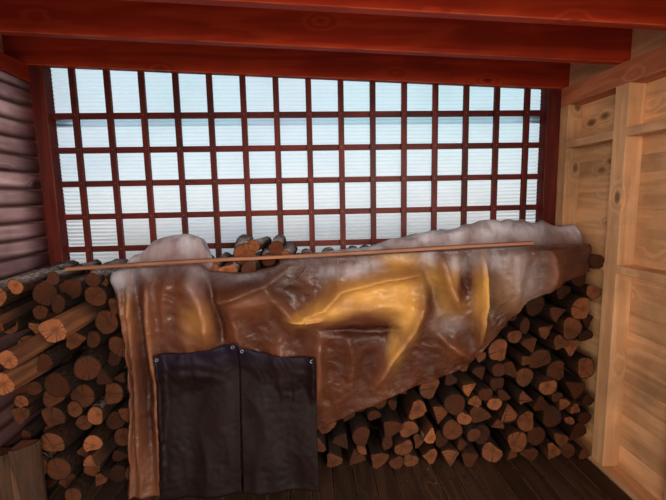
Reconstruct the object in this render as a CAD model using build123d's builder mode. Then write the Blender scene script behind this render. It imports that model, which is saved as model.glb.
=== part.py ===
from build123d import *
import math
import os
import random

# Lean-to log store with an open front, holding a stack of firewood under a plastic sheet.
# Millimetres, +Z up, ground at z = 0, open front towards -Y, high side of the roof at -X.

os.makedirs("parts", exist_ok=True)

# The room inside, between wall faces and above the deck
INNER_WIDTH = 3213
INNER_DEPTH = 2190
HEADROOM_LEFT = 2353
ROOF_FALL = 141

# Framing timber
STUD_DEPTH = 95
STUD_THICK = 47
PLATE_THICK = 47
RAFTER_THICK = 47
RAFTER_DEPTH = 195
RAFTER_PITCH = 415
RAFTERS_PITCHED = 5
JOIST_DEPTH = 95
JOIST_THICK = 47
JOIST_PITCH = 430
BEARER_WIDTH = 95
BEARER_HEIGHT = 45
BEARER_COUNT = 4
STUD_COUNT = 6

# Deck boards run from back to front
DECK_THICK = 28
DECK_PITCH = 116.2
DECK_GAP = 4
DECK_FIRST_SEAM = 62
DECK_ARRIS = 3

# Half-log cladding, with its rounded face out and its flat face on the studs
CLAD_THICK = 28
CLAD_RELIEF = 10
CLAD_PITCH = 94.3
CLAD_GROOVE = 5
CLAD_FIRST_GROOVE = 36
CLAD_DRIP = 30
LEDGER_DEPTH = 93

# Right wall
POST_WIDTH = 90
POST_FIRST = 18
POST_PITCH = 472
POST_PITCHED = 4
WALL_PLATE_DEPTH = 110
NOGGIN_HEIGHT = 45
NOGGIN_LEVELS = (1130, 1838)

# Back wall: two posts, a square lattice of battens and a ribbed sheet behind it
BACK_POST = 90
BACK_POST_PROUD = 35
LEFT_POST_TUCK = 15
BATTEN_WIDTH = 36
BATTEN_THICK = 20
BATTEN_PITCH = 200
BATTEN_COUNT = 15
BATTEN_FIRST = 138
RAIL_PITCH = 202.9
RAIL_TOP = 2079
RAIL_COUNT = 10
BATTEN_LAP = 120
SILL_DEPTH = 75
RIB_PITCH = 23.5
RIB_HEIGHT = 8
SHEET_WALL = 2

# Roof covering and trim
ROOF_BOARD = 18
FELT = 4
EAVES = 150
TRIM = 22
FASCIA_DEPTH = 145
VERGE_DEPTH = 95
VERGE_LIP = 8
DRIP = 10
FRONT_DRIP = 20

# Firewood stack; heights are above the deck, and distances run from the left wall
STACK_DEPTH = 420
STACK_TOP_LEFT = 1196
STACK_TOP_RISE = 88
STACK_SEED = 4
LOG_SMALL = 76
LOG_LARGE = 142
LOG_STAGGER = 11
LOG_STAGGERS = 5
LOG_STAGGER_BACK = 3.7
LOG_SLACK = 0.15
LOG_FACET = math.radians(64)
LOG_TRIES = 30
LOG_LEAST = 25.3
LOG_TOUCH = 0.5
LOG_TOLERANCE = 0.001
LEVELLING_STEPS = 40
SURFACE_LAYER = 330
SPLIT_SHARE = 0.4
SPLIT_WIDEST = math.radians(170)
TOPMOST_LOGS = ((1165, 124), (1264, 80), (1438, 80), (1369, 80), (1294, 68))
TOPMOST_LENGTH = 300
LONG_LOG_EXTRA = 250
LONG_LOG_PLACES = ((330, 955), (250, 850), (190, 745))
LEFT_UNCOVERED = 520
LEFT_REACH = 28
RIGHT_UNCOVERED = 1650
RIGHT_REACH = 12
HEM_CLEARANCE = 40
BILLET_HEIGHTS = (330, 365)
BILLET_RADIUS = 95
BILLET_APART = 8
STACK_BAYS = (
    "firewood_far_left",
    "firewood_left",
    "firewood_middle_left",
    "firewood_middle_right",
    "firewood_right",
    "firewood_far_right",
)

# Covers over the stack; outlines are (distance from the left wall, height above the deck)
COVER_GAP = 0.3
FILM = 3
FILM_OVER_TOP = 330
FILM_LEFT = 573
FILM_LEFT_CREST = 1143
FILM_SAG_LEFT = 1200
FILM_SAG_RIGHT = 1470
FILM_RIGHT_CREST = 1533
FILM_RIGHT = 3150
FILM_SAG = 110
FILM_LOWER_EDGE = (
    (583, 873),
    (546, 476),
    (549, 6),
    (1250, 6),
    (1597, 269),
    (1974, 431),
    (2451, 606),
    (2781, 960),
    (3150, 1130),
)
HEM_LEAVES_FLOOR = 3
TARP = 3
TARP_FOOT_FORWARD = 130
DARK_TARPS = {
    "dark_tarp_left": ((776, 8), (1198, 8), (1198, 813), (776, 770)),
    "dark_tarp_right": ((1203, 8), (1608, 8), (1608, 716), (1203, 790)),
}
LATH_WIDTH = 38
LATH_THICK = 16
LATH_LEFT = 330
LATH_LENGTH = 2500

# Levels above the ground
JOIST_BOTTOM = BEARER_HEIGHT
PLATFORM = JOIST_BOTTOM + JOIST_DEPTH
FLOOR = PLATFORM + DECK_THICK

# Faces across the building; the whole length is centred on x = 0
LEFT_WALL = 2 * CLAD_THICK + STUD_DEPTH
ROOF_LEFT_REACH = TRIM + VERGE_LIP
ROOF_RIGHT_REACH = EAVES + TRIM + DRIP
LENGTH = ROOF_LEFT_REACH + LEFT_WALL + INNER_WIDTH + STUD_DEPTH + ROOF_RIGHT_REACH
ROOF_LEFT = -LENGTH / 2
ROOF_RIGHT = LENGTH / 2
LEFT_OUTER = ROOF_LEFT + ROOF_LEFT_REACH
LEFT_FRAME_OUT = LEFT_OUTER + CLAD_THICK
LEFT_FRAME_IN = LEFT_FRAME_OUT + STUD_DEPTH
LEFT_IN = LEFT_FRAME_IN + CLAD_THICK
RIGHT_IN = LEFT_IN + INNER_WIDTH
RIGHT_FRAME_OUT = RIGHT_IN + STUD_DEPTH
RIGHT_OUTER = RIGHT_FRAME_OUT + CLAD_THICK
RAFTER_END = RIGHT_FRAME_OUT + EAVES

# Faces from front to back; the whole depth is centred on y = 0
BACK_REACH = BACK_POST - BACK_POST_PROUD
DEPTH = FRONT_DRIP + TRIM + INNER_DEPTH + BACK_REACH + TRIM + FRONT_DRIP
ROOF_FRONT = -DEPTH / 2
ROOF_BACK = DEPTH / 2
FRONT = ROOF_FRONT + FRONT_DRIP + TRIM
LATTICE = FRONT + INNER_DEPTH
BACK = LATTICE + BACK_REACH


def roof_at(x, above=0):
    """Height of the underside of the rafters at x, plus a height above it."""
    return FLOOR + HEADROOM_LEFT - ROOF_FALL * (x - LEFT_IN) / INNER_WIDTH + above


def write(piece, name):
    """Label a finished piece and write it as a STEP file."""
    piece.part.label = name
    export_step(piece.part, f"parts/{name}.step")


def block(x0, x1, y0, y1, z0, z1):
    """A squared timber between two corners."""
    with BuildSketch(Plane.XY.offset(z0)) as footprint:
        with Locations(((x0 + x1) / 2, (y0 + y1) / 2)):
            Rectangle(x1 - x0, y1 - y0)
    extrude(footprint.sketch, amount=z1 - z0)


def across(points, y0, y1):
    """A profile seen from the front, given as (x, z), with its depth along Y."""
    with BuildSketch(Plane.XZ.offset(-y1)) as profile:
        with BuildLine():
            Polyline(*points, close=True)
        make_face()
    extrude(profile.sketch, amount=y1 - y0)


def along(points, x0, x1):
    """A profile seen from the side, given as (y, z), with its length along X."""
    with BuildSketch(Plane.YZ.offset(x0)) as profile:
        with BuildLine():
            Polyline(*points, close=True)
        make_face()
    extrude(profile.sketch, amount=x1 - x0)


def standing(x0, x1, foot, above):
    """Outline of an upright piece from a level foot to a line parallel to the rafters."""
    return [(x0, foot), (x1, foot), (x1, roof_at(x1, above)), (x0, roof_at(x0, above))]


def roof_band(x0, x1, low, high):
    """A band parallel to the rafters, between two heights above their underside."""
    return [
        (x0, roof_at(x0, low)),
        (x1, roof_at(x1, low)),
        (x1, roof_at(x1, high)),
        (x0, roof_at(x0, high)),
    ]


def cladding(flat, face, bottom, top, groove, y0, y1):
    """Half-log boards from y0 to y1: flat at the studs, with a round crown per board."""
    valley = face - math.copysign(CLAD_RELIEF, face - flat)
    ledges = [groove + i * CLAD_PITCH for i in range(math.ceil((top - groove) / CLAD_PITCH))]
    ledges = [z for z in ledges if bottom + CLAD_GROOVE < z < top - CLAD_GROOVE]
    feet = [bottom] + [z + CLAD_GROOVE / 2 for z in ledges]
    heads = [z - CLAD_GROOVE / 2 for z in ledges] + [top]
    with BuildSketch(Plane.XZ.offset(-y1)) as boards:
        with BuildLine():
            for foot, head in zip(feet, heads):
                bulge = face if head - foot > CLAD_PITCH / 2 else (face + valley) / 2
                ThreePointArc((valley, foot), (bulge, (foot + head) / 2), (valley, head))
            for head, foot in zip(heads[:-1], feet[1:]):
                Line((valley, head), (valley, foot))
            Polyline((valley, top), (flat, top), (flat, bottom), (valley, bottom))
        make_face()
    extrude(boards.sketch, amount=y1 - y0)


# Ground bearers, joists and deck
with BuildPart() as ground_bearers:
    first = (LEFT_FRAME_OUT + LEFT_FRAME_IN) / 2
    last = (RIGHT_IN + RIGHT_FRAME_OUT) / 2
    for i in range(BEARER_COUNT):
        x = first + (last - first) * i / (BEARER_COUNT - 1)
        block(x - BEARER_WIDTH / 2, x + BEARER_WIDTH / 2, FRONT, BACK, 0, BEARER_HEIGHT)
write(ground_bearers, "ground_bearers")

back_joist = LATTICE + 2 * BATTEN_THICK
joist_faces = [back_joist]
while joist_faces[-1] - JOIST_PITCH > FRONT + 2 * JOIST_THICK:
    joist_faces.append(joist_faces[-1] - JOIST_PITCH)
joist_faces.append(FRONT + JOIST_THICK)
with BuildPart() as floor_joists:
    for y in joist_faces:
        block(LEFT_FRAME_OUT, RIGHT_FRAME_OUT, y - JOIST_THICK, y, JOIST_BOTTOM, PLATFORM)
write(floor_joists, "floor_joists")

sill_front = LATTICE - BACK_POST_PROUD
seams = [LEFT_IN + DECK_FIRST_SEAM]
while seams[-1] + DECK_PITCH < RIGHT_IN:
    seams.append(seams[-1] + DECK_PITCH)
lefts = [LEFT_FRAME_IN] + [s + DECK_GAP / 2 for s in seams[:-1]]
rights = [s - DECK_GAP / 2 for s in seams]
with BuildPart() as deck_boards:
    with BuildSketch(Plane.XZ.offset(-sill_front)):
        for x0, x1 in zip(lefts, rights):
            with BuildLine():
                Polyline(
                    (x0, PLATFORM),
                    (x1, PLATFORM),
                    (x1, FLOOR - DECK_ARRIS),
                    (x1 - DECK_ARRIS, FLOOR),
                    (x0 + DECK_ARRIS, FLOOR),
                    (x0, FLOOR - DECK_ARRIS),
                    close=True,
                )
            make_face()
    extrude(amount=sill_front - FRONT)
write(deck_boards, "deck_boards")

with BuildPart() as front_floor_board:
    block(LEFT_OUTER, RIGHT_OUTER, FRONT - TRIM, FRONT, CLAD_DRIP, FLOOR)
write(front_floor_board, "front_floor_board")

# Left wall: studs between two skins of half-log cladding
with BuildPart() as left_sole_plate:
    block(LEFT_FRAME_OUT, LEFT_FRAME_IN, FRONT, BACK, PLATFORM, PLATFORM + PLATE_THICK)
write(left_sole_plate, "left_sole_plate")

with BuildPart() as left_studs:
    run = BACK - FRONT - STUD_THICK
    foot = PLATFORM + PLATE_THICK
    for i in range(STUD_COUNT):
        y = FRONT + run * i / (STUD_COUNT - 1)
        outline = standing(LEFT_FRAME_OUT, LEFT_FRAME_IN, foot, -PLATE_THICK)
        across(outline, y, y + STUD_THICK)
write(left_studs, "left_studs")

with BuildPart() as left_top_plate:
    across(roof_band(LEFT_FRAME_OUT, LEFT_FRAME_IN, -PLATE_THICK, 0), FRONT, BACK)
write(left_top_plate, "left_top_plate")

ledger_foot = FLOOR + HEADROOM_LEFT - LEDGER_DEPTH
with BuildPart() as left_inner_cladding:
    groove = FLOOR + CLAD_FIRST_GROOVE
    cladding(LEFT_FRAME_IN, LEFT_IN, FLOOR, ledger_foot, groove, FRONT, sill_front)
write(left_inner_cladding, "left_inner_cladding")

with BuildPart() as left_ledger:
    across(standing(LEFT_FRAME_IN, LEFT_IN, ledger_foot, 0), FRONT, sill_front)
write(left_ledger, "left_ledger")

with BuildPart() as left_outer_cladding:
    top = roof_at(LEFT_FRAME_OUT, RAFTER_DEPTH)
    groove = CLAD_DRIP + CLAD_PITCH
    cladding(LEFT_FRAME_OUT, LEFT_OUTER, CLAD_DRIP, top, groove, FRONT, BACK)
write(left_outer_cladding, "left_outer_cladding")

# Right wall: square posts, noggins and a deep plate under the rafters
with BuildPart() as right_sole_plate:
    block(RIGHT_IN, RIGHT_FRAME_OUT, FRONT, BACK, PLATFORM, PLATFORM + PLATE_THICK)
write(right_sole_plate, "right_sole_plate")

post_fronts = [LATTICE - POST_FIRST - POST_WIDTH - i * POST_PITCH for i in range(POST_PITCHED)]
post_fronts.append(FRONT)
with BuildPart() as right_posts:
    foot = PLATFORM + PLATE_THICK
    outline = standing(RIGHT_IN, RIGHT_FRAME_OUT, foot, -WALL_PLATE_DEPTH)
    for y in post_fronts:
        across(outline, y, y + POST_WIDTH)
write(right_posts, "right_posts")

with BuildPart() as right_noggins:
    for level in NOGGIN_LEVELS:
        for ahead, behind in zip(post_fronts[1:], post_fronts[:-1]):
            z = FLOOR + level
            block(RIGHT_IN, RIGHT_FRAME_OUT, ahead + POST_WIDTH, behind, z, z + NOGGIN_HEIGHT)
write(right_noggins, "right_noggins")

with BuildPart() as right_wall_plate:
    across(roof_band(RIGHT_IN, RIGHT_FRAME_OUT, -WALL_PLATE_DEPTH, 0), FRONT, BACK)
write(right_wall_plate, "right_wall_plate")

with BuildPart() as right_cladding:
    top = roof_at(RIGHT_OUTER)
    cladding(RIGHT_FRAME_OUT, RIGHT_OUTER, CLAD_DRIP, top, groove, FRONT, BACK)
write(right_cladding, "right_cladding")

# Back wall
left_post_in = LEFT_IN - LEFT_POST_TUCK + BACK_POST
right_post_in = RIGHT_IN - BACK_POST


def back_post(x0, x1):
    """A square post, notched at its head so that the back rafter sits in it."""
    across(standing(x0, x1, PLATFORM, 0), sill_front, LATTICE)
    across(standing(x0, x1, PLATFORM, RAFTER_DEPTH), LATTICE, BACK)


with BuildPart() as back_left_post:
    back_post(LEFT_IN - LEFT_POST_TUCK, left_post_in)
write(back_left_post, "back_left_post")

with BuildPart() as back_right_post:
    back_post(right_post_in, RIGHT_IN)
write(back_right_post, "back_right_post")

with BuildPart() as back_sill:
    block(
        left_post_in,
        right_post_in,
        sill_front,
        sill_front + SILL_DEPTH,
        PLATFORM,
        PLATFORM + PLATE_THICK,
    )
write(back_sill, "back_sill")

batten_x = [left_post_in + BATTEN_FIRST + i * BATTEN_PITCH for i in range(BATTEN_COUNT)]
rail_z = [FLOOR + RAIL_TOP - i * RAIL_PITCH for i in range(RAIL_COUNT)]
rails_face = LATTICE + BATTEN_THICK
with BuildPart() as lattice_battens:
    foot = PLATFORM + PLATE_THICK
    for x in batten_x:
        outline = standing(x - BATTEN_WIDTH / 2, x + BATTEN_WIDTH / 2, foot, BATTEN_LAP)
        across(outline, LATTICE, rails_face)
write(lattice_battens, "lattice_battens")

with BuildPart() as lattice_rails:
    back = rails_face + BATTEN_THICK
    for z in rail_z:
        low = z - BATTEN_WIDTH / 2
        block(left_post_in, right_post_in, rails_face, back, low, low + BATTEN_WIDTH)
write(lattice_rails, "lattice_rails")



def ribbed(face, bottom, top):
    """Profile (y, z) of a thin sheet with small ribs that run from side to side."""
    count = int((top - bottom) / RIB_PITCH)
    front = []
    for i in range(count + 1):
        z = bottom + i * RIB_PITCH
        front.append((face, z))
        if i < count:
            front.append((face + RIB_HEIGHT, z + RIB_PITCH / 2))
    back = [(y + SHEET_WALL, z) for y, z in reversed(front)]
    return front + back


with BuildPart() as back_ribbed_sheet:
    face = rails_face + BATTEN_THICK + COVER_GAP
    top = roof_at(right_post_in, RAFTER_DEPTH) - COVER_GAP
    profile = ribbed(face, PLATFORM, top)
    along(profile, left_post_in + COVER_GAP, right_post_in - COVER_GAP)
write(back_ribbed_sheet, "back_ribbed_sheet")

with BuildPart() as back_fascia:
    band = roof_band(LEFT_OUTER, RAFTER_END, RAFTER_DEPTH - FASCIA_DEPTH, RAFTER_DEPTH)
    across(band, BACK, BACK + TRIM)
write(back_fascia, "back_fascia")

with BuildPart() as back_bottom_board:
    block(LEFT_OUTER, RIGHT_OUTER, BACK, BACK + TRIM, CLAD_DRIP, FLOOR)
write(back_bottom_board, "back_bottom_board")

# Roof
rafter_faces = [FRONT + i * RAFTER_PITCH for i in range(RAFTERS_PITCHED)]
rafter_faces.append(LATTICE - RAFTER_THICK)
with BuildPart() as rafters:
    for y in rafter_faces:
        across(roof_band(LEFT_FRAME_OUT, RAFTER_END, 0, RAFTER_DEPTH), y, y + RAFTER_THICK)
write(rafters, "rafters")

with BuildPart() as eaves_blocking:
    x0 = (RIGHT_IN + RIGHT_FRAME_OUT - TRIM) / 2
    for ahead, behind in zip(rafter_faces[:-1], rafter_faces[1:]):
        across(roof_band(x0, x0 + TRIM, 0, RAFTER_DEPTH), ahead + RAFTER_THICK, behind)
write(eaves_blocking, "eaves_blocking")

deck_top = RAFTER_DEPTH + ROOF_BOARD
with BuildPart() as roof_boards:
    across(roof_band(ROOF_LEFT, ROOF_RIGHT, RAFTER_DEPTH, deck_top), ROOF_FRONT, ROOF_BACK)
write(roof_boards, "roof_boards")

with BuildPart() as roof_felt:
    across(roof_band(ROOF_LEFT, ROOF_RIGHT, deck_top, deck_top + FELT), ROOF_FRONT, ROOF_BACK)
write(roof_felt, "roof_felt")

with BuildPart() as front_fascia:
    band = roof_band(LEFT_OUTER, RAFTER_END, RAFTER_DEPTH - FASCIA_DEPTH, RAFTER_DEPTH)
    across(band, FRONT - TRIM, FRONT)
write(front_fascia, "front_fascia")

with BuildPart() as eaves_fascia:
    band = roof_band(RAFTER_END, RAFTER_END + TRIM, RAFTER_DEPTH - FASCIA_DEPTH, RAFTER_DEPTH)
    across(band, FRONT - TRIM, BACK + TRIM)
write(eaves_fascia, "eaves_fascia")

with BuildPart() as left_verge_board:
    band = roof_band(LEFT_OUTER - TRIM, LEFT_OUTER, RAFTER_DEPTH - VERGE_DEPTH, RAFTER_DEPTH)
    across(band, FRONT - TRIM, BACK + TRIM)
write(left_verge_board, "left_verge_board")


def corner_trims(x0, x1):
    """Boards over the front and back ends of a side wall, from the floor to the fascias."""
    outline = standing(x0, x1, FLOOR, RAFTER_DEPTH - FASCIA_DEPTH)
    across(outline, FRONT - TRIM, FRONT)
    across(outline, BACK, BACK + TRIM)


with BuildPart() as left_corner_trims:
    corner_trims(LEFT_OUTER, LEFT_IN)
write(left_corner_trims, "left_corner_trims")

with BuildPart() as right_corner_trims:
    corner_trims(RIGHT_IN, RIGHT_OUTER)
write(right_corner_trims, "right_corner_trims")

# Firewood: round logs that lie on each other, set out in the plane of their sawn ends.
# Each log is (x, z, radius); x runs from the left wall and z from the deck.


def stack_top(x):
    """Height of the finished stack above the deck, x from the left wall."""
    return STACK_TOP_LEFT + STACK_TOP_RISE * x / INNER_WIDTH


def resting_on(a, b, radius):
    """Centre of a log that lies in the valley between logs a and b, or None."""
    if a[0] > b[0]:
        a, b = b, a
    dx = b[0] - a[0]
    dz = b[1] - a[1]
    apart = math.hypot(dx, dz)
    to_a = a[2] + radius
    to_b = b[2] + radius
    if apart >= to_a + to_b or apart < abs(to_a - to_b):
        return None
    reach = (to_a**2 - to_b**2 + apart**2) / (2 * apart)
    rise = math.sqrt(to_a**2 - reach**2)
    x = a[0] + (reach * dx - rise * dz) / apart
    z = a[1] + (reach * dz + rise * dx) / apart
    if a[0] < x < b[0]:
        return x, z
    return None


def seats(logs, radius):
    """Places where a log of this radius would lie still: on the floor, a wall or two logs."""
    yield radius, radius
    for log in logs:
        gap = (log[2] + radius) ** 2 - (log[1] - radius) ** 2
        if gap > 0:
            yield log[0] + math.sqrt(gap), radius
        for wall in (radius, INNER_WIDTH - radius):
            drop = (log[2] + radius) ** 2 - (log[0] - wall) ** 2
            if drop > 0:
                yield wall, log[1] + math.sqrt(drop)
    for i, a in enumerate(logs):
        for b in logs[i + 1 :]:
            if abs(a[0] - b[0]) < a[2] + b[2] + 2 * radius:
                place = resting_on(a, b, radius)
                if place:
                    yield place


def free(logs, x, z, radius):
    """True where a log fits between the walls and clear of the other logs."""
    least = radius - LOG_TOLERANCE
    if x < least or x > INNER_WIDTH - least or z < least:
        return False
    return all(math.hypot(x - a, z - b) > r + least for a, b, r in logs)


def lowest_seat(logs, radius, near=None):
    """The lowest free place for a log, near a given x if there is one."""
    level = max((log[1] for log in logs), default=0)
    surface = [log for log in logs if log[1] > level - SURFACE_LAYER]
    best = None
    for x, z in seats(surface, radius):
        if near is not None and abs(x - near) > LOG_LARGE:
            continue
        if best is None or (round(z, 3), x) < (round(best[1], 3), best[0]):
            if free(logs, x, z, radius):
                best = (x, z)
    return best


def fill_stack(rng):
    """Lay logs from the floor up until the next one would stand above the stack."""
    logs = []
    refused = 0
    while refused < LOG_TRIES:
        radius = rng.uniform(LOG_SMALL, LOG_LARGE) / 2
        x, z = lowest_seat(logs, radius)
        if z + radius > stack_top(x):
            refused += 1
        else:
            logs.append((x, z, radius))
    return logs


def level_off(logs):
    """Fill the valleys left on top with logs that just reach the stack's height."""
    crest = [log for log in logs if log[1] + 2 * LOG_LARGE > stack_top(log[0])]
    for i, a in enumerate(crest):
        for b in crest[i + 1 :]:
            low = LOG_LEAST
            high = LOG_LARGE / 2
            for _ in range(LEVELLING_STEPS):
                radius = (low + high) / 2
                place = resting_on(a, b, radius)
                if place and place[1] + radius > stack_top(place[0]):
                    high = radius
                else:
                    low = radius
            place = resting_on(a, b, low)
            if place and LOG_LEAST < low and high < LOG_LARGE / 2:
                if free(logs, *place, low):
                    logs.append((*place, low))
    return logs


def outline_of(log, logs, rng):
    """Corners of a log's end: one at each place it touches, the rest spread between."""
    x, z, radius = log
    angles = []
    for a, b, r in logs:
        apart = math.hypot(a - x, b - z)
        if 0 < apart < r + radius + LOG_TOUCH:
            angles.append(math.atan2(b - z, a - x))
    if z < radius + LOG_TOUCH:
        angles.append(-math.pi / 2)
    if x < radius + LOG_TOUCH:
        angles.append(math.pi)
    if x > INNER_WIDTH - radius - LOG_TOUCH:
        angles.append(0.0)
    if abs(z + radius - stack_top(x)) < LOG_TOUCH:
        angles.append(math.pi / 2)
    angles = sorted(a % (2 * math.pi) for a in angles)
    if not angles:
        angles = [0.0]
    turns = [(b - a) % (2 * math.pi) or 2 * math.pi for a, b in zip(angles, angles[1:] + angles[:1])]
    widest = max(turns)
    split = rng.random() < SPLIT_SHARE and widest < SPLIT_WIDEST
    corners = []
    for angle, turn in zip(angles, turns):
        corners.append(angle)
        if split and turn == widest:
            continue
        steps = math.ceil(turn / LOG_FACET)
        corners += [angle + turn * k / steps for k in range(1, steps)]
    reach = radius - LOG_SLACK
    return [(LEFT_IN + x + reach * math.cos(a), FLOOR + z + reach * math.sin(a)) for a in corners]


rng = random.Random(STACK_SEED)
stack = level_off(fill_stack(rng))
on_top = []
for x, width in TOPMOST_LOGS:
    place = lowest_seat(stack + on_top, width / 2, near=x)
    on_top.append((*place, width / 2))
all_logs = stack + on_top
stack_back = sill_front - COVER_GAP
stack_face = sill_front - STACK_DEPTH
outlines = [(log, outline_of(log, all_logs, rng), rng.randrange(LOG_STAGGERS)) for log in stack]


def hem_at(x):
    """Height of the film's lower edge above the deck, to the right of where it leaves the floor."""
    rising = FILM_LOWER_EDGE[HEM_LEAVES_FLOOR:]
    for (x0, z0), (x1, z1) in zip(rising, rising[1:]):
        if x0 <= x <= x1:
            return z0 + (z1 - z0) * (x - x0) / (x1 - x0)
    return stack_top(x)


long_logs = [min(stack, key=lambda log: math.dist(log[:2], place)) for place in LONG_LOG_PLACES]


def face_of(log, stagger):
    """Where a log's front end is: logs that no film covers stick out by different lengths."""
    x, z, radius = log
    step = 2 * stagger % LOG_STAGGERS
    if log in long_logs:
        return stack_face - LONG_LOG_EXTRA
    if x + radius < LEFT_UNCOVERED:
        return stack_face - step * LEFT_REACH
    if x - radius > RIGHT_UNCOVERED and z + radius + HEM_CLEARANCE < hem_at(x):
        return stack_face - step * RIGHT_REACH
    return stack_face + step * LOG_STAGGER


bay = INNER_WIDTH / len(STACK_BAYS)
for number, name in enumerate(STACK_BAYS):
    in_bay = [o for o in outlines if int(o[0][0] // bay) == number]
    spans = sorted({(face_of(log, stagger), stagger) for log, _, stagger in in_bay})
    with BuildPart() as firewood:
        for face, stagger in spans:
            back = stack_back - stagger * LOG_STAGGER_BACK
            with BuildSketch(Plane.XZ.offset(-back)):
                for log, points, own_stagger in in_bay:
                    if (face_of(log, own_stagger), own_stagger) == (face, stagger):
                        with BuildLine():
                            Polyline(*points, close=True)
                        make_face()
            extrude(amount=back - face)
    write(firewood, name)

with BuildPart() as firewood_on_top:
    with BuildSketch(Plane.XZ.offset(-stack_back)):
        for log in on_top:
            points = outline_of(log, all_logs, rng)
            with BuildLine():
                Polyline(*points, close=True)
            make_face()
    extrude(amount=TOPMOST_LENGTH)
write(firewood_on_top, "firewood_on_top")

with BuildPart() as upright_billets:
    for i, height in enumerate(BILLET_HEIGHTS):
        corner_x = LEFT_IN + COVER_GAP + i * (BILLET_RADIUS + BILLET_APART)
        corner_y = stack_face - (LOG_STAGGERS - 1) * LEFT_REACH - BILLET_APART
        with BuildSketch(Plane.XY.offset(FLOOR)):
            with BuildLine():
                Line((corner_x, corner_y), (corner_x + BILLET_RADIUS, corner_y))
                RadiusArc(
                    (corner_x + BILLET_RADIUS, corner_y),
                    (corner_x, corner_y - BILLET_RADIUS),
                    BILLET_RADIUS,
                )
                Line((corner_x, corner_y - BILLET_RADIUS), (corner_x, corner_y))
            make_face()
        extrude(amount=height)
write(upright_billets, "upright_billets")

# Covers: a clear plastic sheet over the stack, two dark tarps in front and a lath on top
film_back = stack_face - COVER_GAP
film_front = film_back - FILM


def on_stack(x, above=0):
    """A point at the stack's top, x from the left wall."""
    return LEFT_IN + x, FLOOR + stack_top(x) + COVER_GAP + above


def cover_points(points):
    """Points given from the left wall and the deck, in the building's own frame."""
    return [(LEFT_IN + x, FLOOR + z) for x, z in points]


with BuildPart() as plastic_sheet:
    outline = [on_stack(FILM_LEFT, FILM)]
    outline += cover_points(FILM_LOWER_EDGE)
    outline += [on_stack(FILM_RIGHT, FILM), on_stack(FILM_RIGHT_CREST, FILM)]
    outline += [on_stack(FILM_SAG_RIGHT, -FILM_SAG), on_stack(FILM_SAG_LEFT, -FILM_SAG)]
    outline += [on_stack(FILM_LEFT_CREST, FILM)]
    across(outline, film_front, film_back)
    for left, right in ((FILM_LEFT, FILM_LEFT_CREST), (FILM_RIGHT_CREST, FILM_RIGHT)):
        ends = [on_stack(left), on_stack(right), on_stack(right, FILM), on_stack(left, FILM)]
        across(ends, film_back, film_back + FILM_OVER_TOP)
write(plastic_sheet, "plastic_sheet")

tarp_back = film_front - COVER_GAP
for name, corners in DARK_TARPS.items():
    head = FLOOR + max(z for _, z in corners)
    foot = FLOOR + min(z for _, z in corners)
    lean = math.atan2(TARP_FOOT_FORWARD, head - foot)
    normal = (0, -math.cos(lean), math.sin(lean))
    outline = [(x, (z - head) / math.cos(lean)) for x, z in cover_points(corners)]
    with BuildPart() as dark_tarp:
        with BuildSketch(Plane(origin=(0, tarp_back, head), x_dir=(1, 0, 0), z_dir=normal)):
            with BuildLine():
                Polyline(*outline, close=True)
            make_face()
        extrude(amount=TARP)
    write(dark_tarp, name)

with BuildPart() as lath:
    low = FILM + COVER_GAP
    high = low + LATH_THICK
    left = LATH_LEFT
    right = LATH_LEFT + LATH_LENGTH
    ends = [on_stack(left, low), on_stack(right, low), on_stack(right, high), on_stack(left, high)]
    across(ends, stack_face, stack_face + LATH_WIDTH)
write(lath, "lath")

print("logs", len(all_logs))
print("length", LENGTH, "depth", DEPTH, "height", roof_at(ROOF_LEFT, deck_top + FELT))
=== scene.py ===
# %% [markdown]
# # A lean-to log store, dressed
# The model that comes from the drawing office is right in its sizes but bare: every board is a
# plain solid. This lesson dresses it. Timber gets soft corners and grain, round logs get bark
# and sawn ends, and the loose covers get folds. Nothing that carries weight is moved.

# %% Load the fixed frame
import bmesh
import bpy
import random
from math import atan, atan2, cos, degrees, exp, hypot, inf, pi, radians, sin
from mathutils import Matrix, Vector, noise


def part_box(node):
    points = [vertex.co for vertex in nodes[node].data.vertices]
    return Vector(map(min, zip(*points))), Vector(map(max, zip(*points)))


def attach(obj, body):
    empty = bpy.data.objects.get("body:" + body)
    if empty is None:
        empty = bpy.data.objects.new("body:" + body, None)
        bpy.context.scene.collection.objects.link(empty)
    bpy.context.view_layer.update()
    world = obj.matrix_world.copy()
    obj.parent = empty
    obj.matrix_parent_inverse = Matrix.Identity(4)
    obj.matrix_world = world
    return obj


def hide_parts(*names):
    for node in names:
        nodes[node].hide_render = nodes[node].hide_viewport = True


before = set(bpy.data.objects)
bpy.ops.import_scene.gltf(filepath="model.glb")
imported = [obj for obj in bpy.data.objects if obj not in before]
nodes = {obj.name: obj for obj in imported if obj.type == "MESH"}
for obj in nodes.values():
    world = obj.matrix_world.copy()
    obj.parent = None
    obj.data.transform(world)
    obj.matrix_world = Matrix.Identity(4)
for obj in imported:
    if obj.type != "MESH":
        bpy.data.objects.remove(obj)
scene = bpy.context.scene
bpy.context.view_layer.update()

# %% [markdown]
# ## Where things are
# Each solid already sits in its place, so its own box says where it is. A few of these places
# are used again and again: the faces of the room inside, the deck, and the slope of the roof.

# %% Places read from the solids
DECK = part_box("deck_boards")[1].z
LEFT_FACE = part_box("left_inner_cladding")[1].x
LATTICE_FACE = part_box("lattice_battens")[0].y
STACK_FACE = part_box("lath")[0].y
RAFTER_LOW, RAFTER_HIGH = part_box("rafters")
RAFTER_DEPTH = 0.195
ROOM_WIDTH = 3.213
ROOF_DROP = 0.141 / ROOM_WIDTH
STACK_RISE = 0.088 / ROOM_WIDTH
STACK_AT_LEFT = DECK + 1.196
TURN = 2 * pi


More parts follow.
